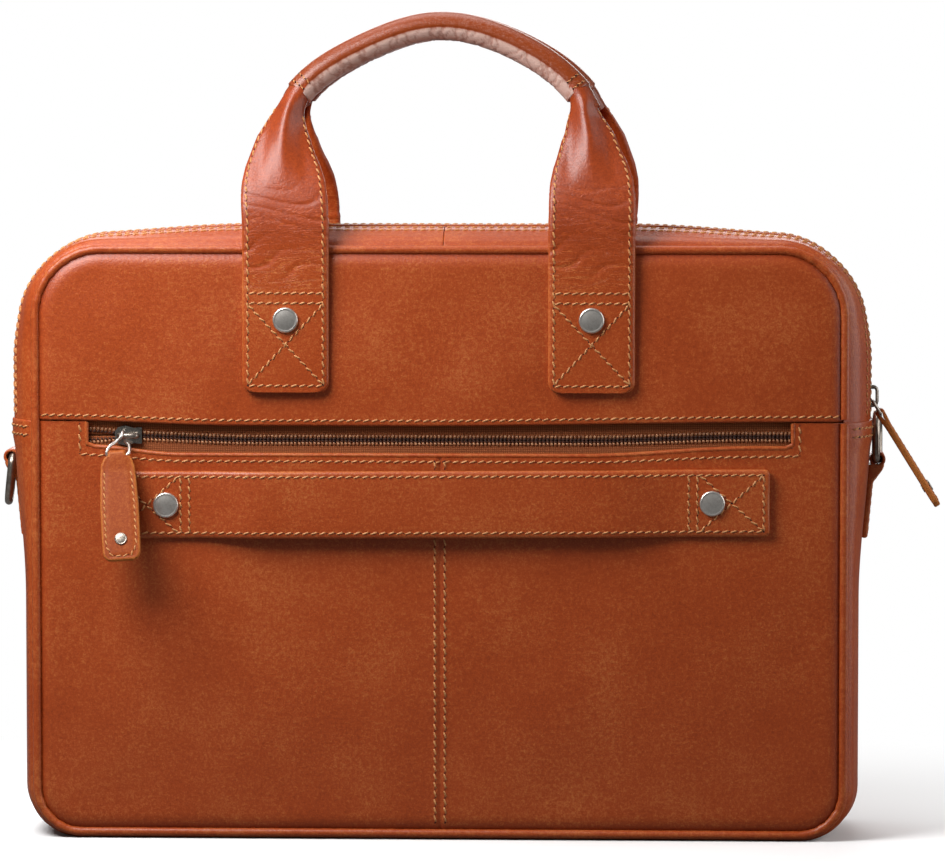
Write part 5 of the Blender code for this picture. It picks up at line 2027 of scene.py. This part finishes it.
@dataclass
class SideRing:
    """D-ring for a shoulder strap, held by a folded leather tab on the gusset."""

    side: int
    word: str
    y: float = 12.5 * MM
    z: float = 182 * MM
    reach_x: float = 212.23 * MM
    span: float = 22 * MM
    reach: float = 22.5 * MM
    wire: float = 2.0 * MM
    corner: float = 3.5 * MM
    straight: float = 10.5 * MM
    hang: float = 6.0
    yaw: float = 5.0
    leaf: float = 1.6 * MM
    outer: float = 3.9 * MM
    tab_half: float = 8.5 * MM
    tab_length: float = 38.5 * MM
    leaf_start: float = 2.6 * MM
    leaf_lead: float = 3.3 * MM
    clear: float = 0.2 * MM
    rounding: float = 1.3 * MM

    def build(self) -> None:
        """Add the ring and its tab."""
        half = self.span / 2
        inner = half - self.corner

        def turn_in(middle: float, first: float) -> list:
            """Give a quarter turn beside the ring's bar."""
            turns = np.linspace(first, first + math.pi / 2, 9)
            size = self.corner
            return [(middle + size * math.cos(t), size + size * math.sin(t), 0) for t in turns]

        points = turn_in(inner, -math.pi / 2)
        for turn in np.linspace(0, math.pi, 33):
            rise = self.straight + (self.reach - self.straight) * math.sin(turn)
            points.append((half * math.cos(turn), rise, 0))
        points += turn_in(-inner, math.pi)
        points += [(x, 0, 0) for x in np.linspace(-inner, inner, 9)[1:-1]]
        tilt = math.radians(self.hang)
        reach = (0, 0, 1) if self.side > 0 else (-math.sin(tilt), 0, -math.cos(tilt))
        yaw = math.radians(self.yaw) * self.side
        origin = (self.side * self.reach_x, self.y, self.z)
        place = place_frame(origin, (math.sin(yaw), math.cos(yaw), 0), reach)
        mesh = moved(tube(np.array(points), self.wire, (0, 0, 1), 16, cyclic=True), place)
        name = f"{self.word}_ring"
        piece(f"{name}_metal", mesh, PEWTER, Hold(name), (name,))
        self.build_tab()

    def build_tab(self) -> None:
        """Add the folded tab and its stitching."""
        turns = np.linspace(math.radians(-80), math.radians(255), 36)
        depth = spaced(self.y - self.tab_half, self.y + self.tab_half, 1.6 * MM, 0.7 * MM)
        turns, depth = np.meshgrid(turns, depth, indexing="ij")
        x = self.side * (self.reach_x + self.outer * np.cos(turns))
        grid = np.stack([x, depth, self.z + self.outer * np.sin(turns)], -1)
        mesh = sheet(grid, self.leaf - 0.1 * MM, flip=self.side > 0)
        piece(f"ring_tab_fold_{self.word}", mesh, BODY_LEATHER, CASE, tone=0.06)

        def seat(s: Array) -> Array:
            """Give half the width at the leaf's inner face, at distances below the ring."""
            return SHAPE.side_face(self.z - s, self.y) + self.clear

        def face(s: Array, q: Array) -> Array:
            """Give points of the leaf's outer face, which runs off the bottom of the fold."""
            flat = seat(s) + 2 * self.leaf
            lead = (self.reach_x + self.leaf_lead - flat) * (1 - smooth((s - self.leaf_start) / (10 * MM)))
            return np.stack([self.side * (flat + lead), self.y + q, self.z - s], -1)

        s = spaced(self.leaf_start, self.tab_length, 1.5 * MM, 0.9 * MM)
        q = spaced(-self.tab_half, self.tab_half, 1.6 * MM, 0.9 * MM)
        s, q = np.meshgrid(s, q, indexing="ij")
        grid = face(s, q)
        gap = np.minimum(self.tab_half - np.abs(q), self.tab_length - s)
        drop = rounded(gap, self.rounding)
        outer = grid.copy()
        outer[..., 0] -= self.side * drop
        inner = grid.copy()
        inner[..., 0] = self.side * (seat(s) + drop)
        mesh = slab(outer, inner)
        tone = edge_tone(grid, self.rounding, 0.2)
        nodes = (f"ring_tab_{self.word}",)
        piece(f"ring_tab_leaf_{self.word}", mesh, BODY_LEATHER, CASE, nodes, tone=tone)
        rows = Stitching(f"ring_tab_{self.word}", CASE, thread=0.36 * MM, rise=0.05 * MM)
        edge = self.tab_half - 2.2 * MM
        low = self.tab_length - 2.4 * MM
        high = 8 * MM
        knots = [(high, -edge), (low, -edge), (low, edge), (high, edge), (high, -edge)]
        rows.run(face, knots, self.side < 0)
        rows.build()


@dataclass
class Inside:
    """Linings, padded divider and base board, seen when the mouth is open."""

    edge: float = 191 * MM
    radius: float = 32 * MM

    def outline(
        self, low: float, high: float, corners: tuple[bool, bool], half: float
    ) -> tuple[Array, Array]:
        """Give a grid of places over a panel with rounded corners.

        Args:
            low: Lower edge.
            high: Upper edge.
            corners: Whether the lower and the upper corners are rounded.
            half: Half the width.

        Returns:
            Places across and up.
        """
        turn = corner_steps(self.radius, 10)
        z = [low + turn if corners[0] else np.array([low])]
        z.append(np.linspace(z[0][-1], high - (self.radius if corners[1] else 0), 14)[1:])
        if corners[1]:
            z.append((high - turn[::-1])[1:])
        z = np.concatenate(z)
        gap = np.full(len(z), np.inf)
        if corners[0]:
            gap = np.minimum(gap, z - low)
        if corners[1]:
            gap = np.minimum(gap, high - z)
        wide = half - rounded(gap, self.radius)
        share = spaced(-1.0, 1.0, 0.06, 0.02)
        return wide[:, None] * share[None], repeated(z, len(share))

    def hang(
        self, name: str, node: str, places: tuple[Array, Array], y: Any, thickness: float, hold: Hold
    ) -> Any:
        """Add one panel.

        Args:
            name: Name of the piece.
            node: Solid that it stands for.
            places: Places across and up.
            y: Depth of its front, one number or one for each place.
            thickness: Thickness of the panel.
            hold: How it moves.

        Returns:
            The object.
        """
        x, z = places
        grid = np.stack([x, np.broadcast_to(y, x.shape), z], -1)
        return piece(name, sheet(grid, thickness, flip=True), LINING, hold, (node,))

    def build(self) -> None:
        """Add the pieces."""
        places = self.outline(7 * MM, 281.5 * MM, (True, True), self.edge)
        quilt = 0.25 * MM * np.sin(places[0] / (12 * MM)) * np.sin(places[1] / (12 * MM))
        depth = 33.2 * MM - quilt
        back = self.hang("back_lining_cloth", "back_lining", places, depth, 3.8 * MM, CASE)
        places = self.outline(4.6 * MM, 232.6 * MM, (True, False), 200.5 * MM)
        depth = 4.6 * MM
        divider = self.hang("laptop_divider_cloth", "laptop_divider", places, depth, 4.8 * MM, CASE)
        places = self.outline(7 * MM, 202.7 * MM, (True, False), self.edge)
        depth = -31.3 * MM
        pocket = self.hang("front_pocket_cloth", "front_pocket_lining", places, depth, 1.0 * MM, CASE)
        places = self.outline(215 * MM, 281.5 * MM, (False, True), self.edge)
        depth = -35.7 * MM
        yoke = self.hang("yoke_lining_cloth", "yoke_lining", places, depth, 1.0 * MM, MOUTH)
        board = frame["nodes"]["base_board"]
        board.data.materials.clear()
        board.data.materials.append(BOARD.material())


# Studio


class Light(Enum):
    """Lamps of the studio: place, target, size and power."""

    KEY = ((-0.4, -0.38, 0.7), (-0.1, 0.0, 0.24), 0.5, 8.6)
    FILL = ((1.4, -1.9, 0.7), (0.0, 0.0, 0.2), 1.5, 0.3)
    TOP = ((-0.1, 0.25, 1.5), (0.0, 0.0, 0.2), 1.0, 7.5)
    BACK = ((0.0, 1.3, 0.62), (0.0, 0.0, 0.3), 1.0, 8.0)
    SIDE = ((1.2, -0.15, 0.5), (0.2, 0.0, 0.2), 1.2, 8.5)


@dataclass
class Studio:
    """Camera, lamps, floor and backdrop."""

    width: int = 945
    scale: float = 0.481 * MM
    distance: float = 2.6
    camera_x: float = 122 * MM
    camera_z: float = 385 * MM
    front_y: float = -40 * MM
    middle_x: float = 16.2 * MM
    middle_z: float = 198.7 * MM
    floor_half: float = 3.0
    fade_start: float = 0.2
    fade_end: float = 0.42
    ambient: float = 0.1
    mirrored: float = 0.13
    sensor: float = 36.0

    def build(self) -> None:
        """Set up the scene round the object."""
        self.build_camera()
        for lamp in Light:
            place, target, size, power = lamp.value
            data = bpy.data.lights.new(lamp.name.lower(), "AREA")
            data.shape = "DISK"
            data.size = size
            data.energy = power
            obj = bpy.data.objects.new(lamp.name.lower(), data)
            bpy.context.scene.collection.objects.link(obj)
            obj.location = place
            aim = Vector(target) - Vector(place)
            obj.rotation_euler = aim.to_track_quat("-Z", "Y").to_euler()
        self.build_world()
        self.build_floor()
        bpy.context.scene.view_settings.view_transform = "Standard"

    def build_camera(self) -> None:
        """Add the camera: near the front's middle, a little to the right and above."""
        data = bpy.data.cameras.new("camera")
        obj = bpy.data.objects.new("camera", data)
        bpy.context.scene.collection.objects.link(obj)
        place = Vector((self.camera_x, self.front_y - self.distance, self.camera_z))
        aim = Vector((self.middle_x, self.front_y, self.middle_z)) - place
        obj.location = place
        obj.rotation_euler = aim.to_track_quat("-Z", "Y").to_euler()
        data.sensor_width = self.sensor
        data.lens = self.sensor * aim.length / (self.width * self.scale)
        data.clip_end = 50.0
        bpy.context.scene.camera = obj

    def build_world(self) -> None:
        """Make the surroundings white to the camera, dim to mirrors and a soft grey to the light."""
        world = bpy.data.worlds.new("studio")
        bpy.context.scene.world = world
        world.use_nodes = True
        tree = world.node_tree
        tree.nodes.clear()
        seen = add_node(tree, "Background", {"Color": (1, 1, 1, 1), "Strength": 1.0})
        inputs = {"Color": linear("F6F5F3"), "Strength": self.ambient}
        light = add_node(tree, "Background", inputs)
        path = add_node(tree, "LightPath").outputs
        direct = combine(tree, "MAXIMUM", path["Is Camera Ray"], path["Is Transmission Ray"])
        # Metal shows the backdrop too, as dim as a studio that is white only behind the object.
        share = combine(tree, "MULTIPLY_ADD", path["Is Glossy Ray"], self.mirrored, direct)
        mix = add_node(tree, "MixShader", {0: share, 1: light.outputs[0], 2: seen.outputs[0]})
        add_node(tree, "OutputWorld", {"Surface": mix.outputs[0]})

    def build_floor(self) -> None:
        """Add a pale floor that keeps the shadow near the object and fades to white away from it."""
        data = bpy.data.meshes.new("floor")
        half = self.floor_half
        corners = [(-half, -half, 0), (half, -half, 0), (half, half, 0), (-half, half, 0)]
        data.from_pydata(corners, [], [(0, 1, 2, 3)])
        obj = bpy.data.objects.new("floor", data)
        bpy.context.scene.collection.objects.link(obj)
        material, tree, shader = new_material("painted_studio_floor")
        place = object_place(tree)
        length = add_node(tree, "VectorMath", {0: place}, operation="LENGTH").outputs["Value"]
        inputs = {"Value": length, "From Min": self.fade_start, "From Max": self.fade_end}
        fade = add_node(tree, "MapRange", inputs).outputs[0]
        camera_ray = add_node(tree, "LightPath").outputs["Is Camera Ray"]
        paint = ramp(tree, camera_ray, [(0.0, "6A6A6A"), (1.0, "FCFCFC")])
        fill(tree, shader, {"Base Color": paint, "Roughness": 0.9})
        seen = combine(tree, "MULTIPLY", fade, camera_ray)
        white = add_node(tree, "Emission", {"Color": (1, 1, 1, 1), "Strength": 1.0})
        mix = add_node(tree, "MixShader", {0: seen, 1: shader.outputs[0], 2: white.outputs[0]})
        output = next(n for n in tree.nodes if n.type == "OUTPUT_MATERIAL")
        tree.links.new(mix.outputs[0], output.inputs["Surface"])
        data.materials.append(material)


def main() -> None:
    """Build the pieces in order."""
    logging.basicConfig(level=logging.INFO, format="%(message)s")
    Front().build()
    Yoke().build()
    Back().build()
    Gusset().build()
    Piping().build()
    FrontZip().build()
    MainZip().build()
    Sliders().build()
    LuggageStrap().build()
    haunch = (2.2 * MM, 1.4 * MM)
    Handle("front", -1, FRONT_STRAP, haunch=haunch, right_shift=(2.0 * MM, 2.6 * MM)).build()
    Handle("back", 1, BACK_STRAP, haunch=haunch).build()
    for side, word in HANDS:
        SideRing(side, word).build()
    Inside().build()
    Studio().build()


if __name__ == "__main__":
    main()
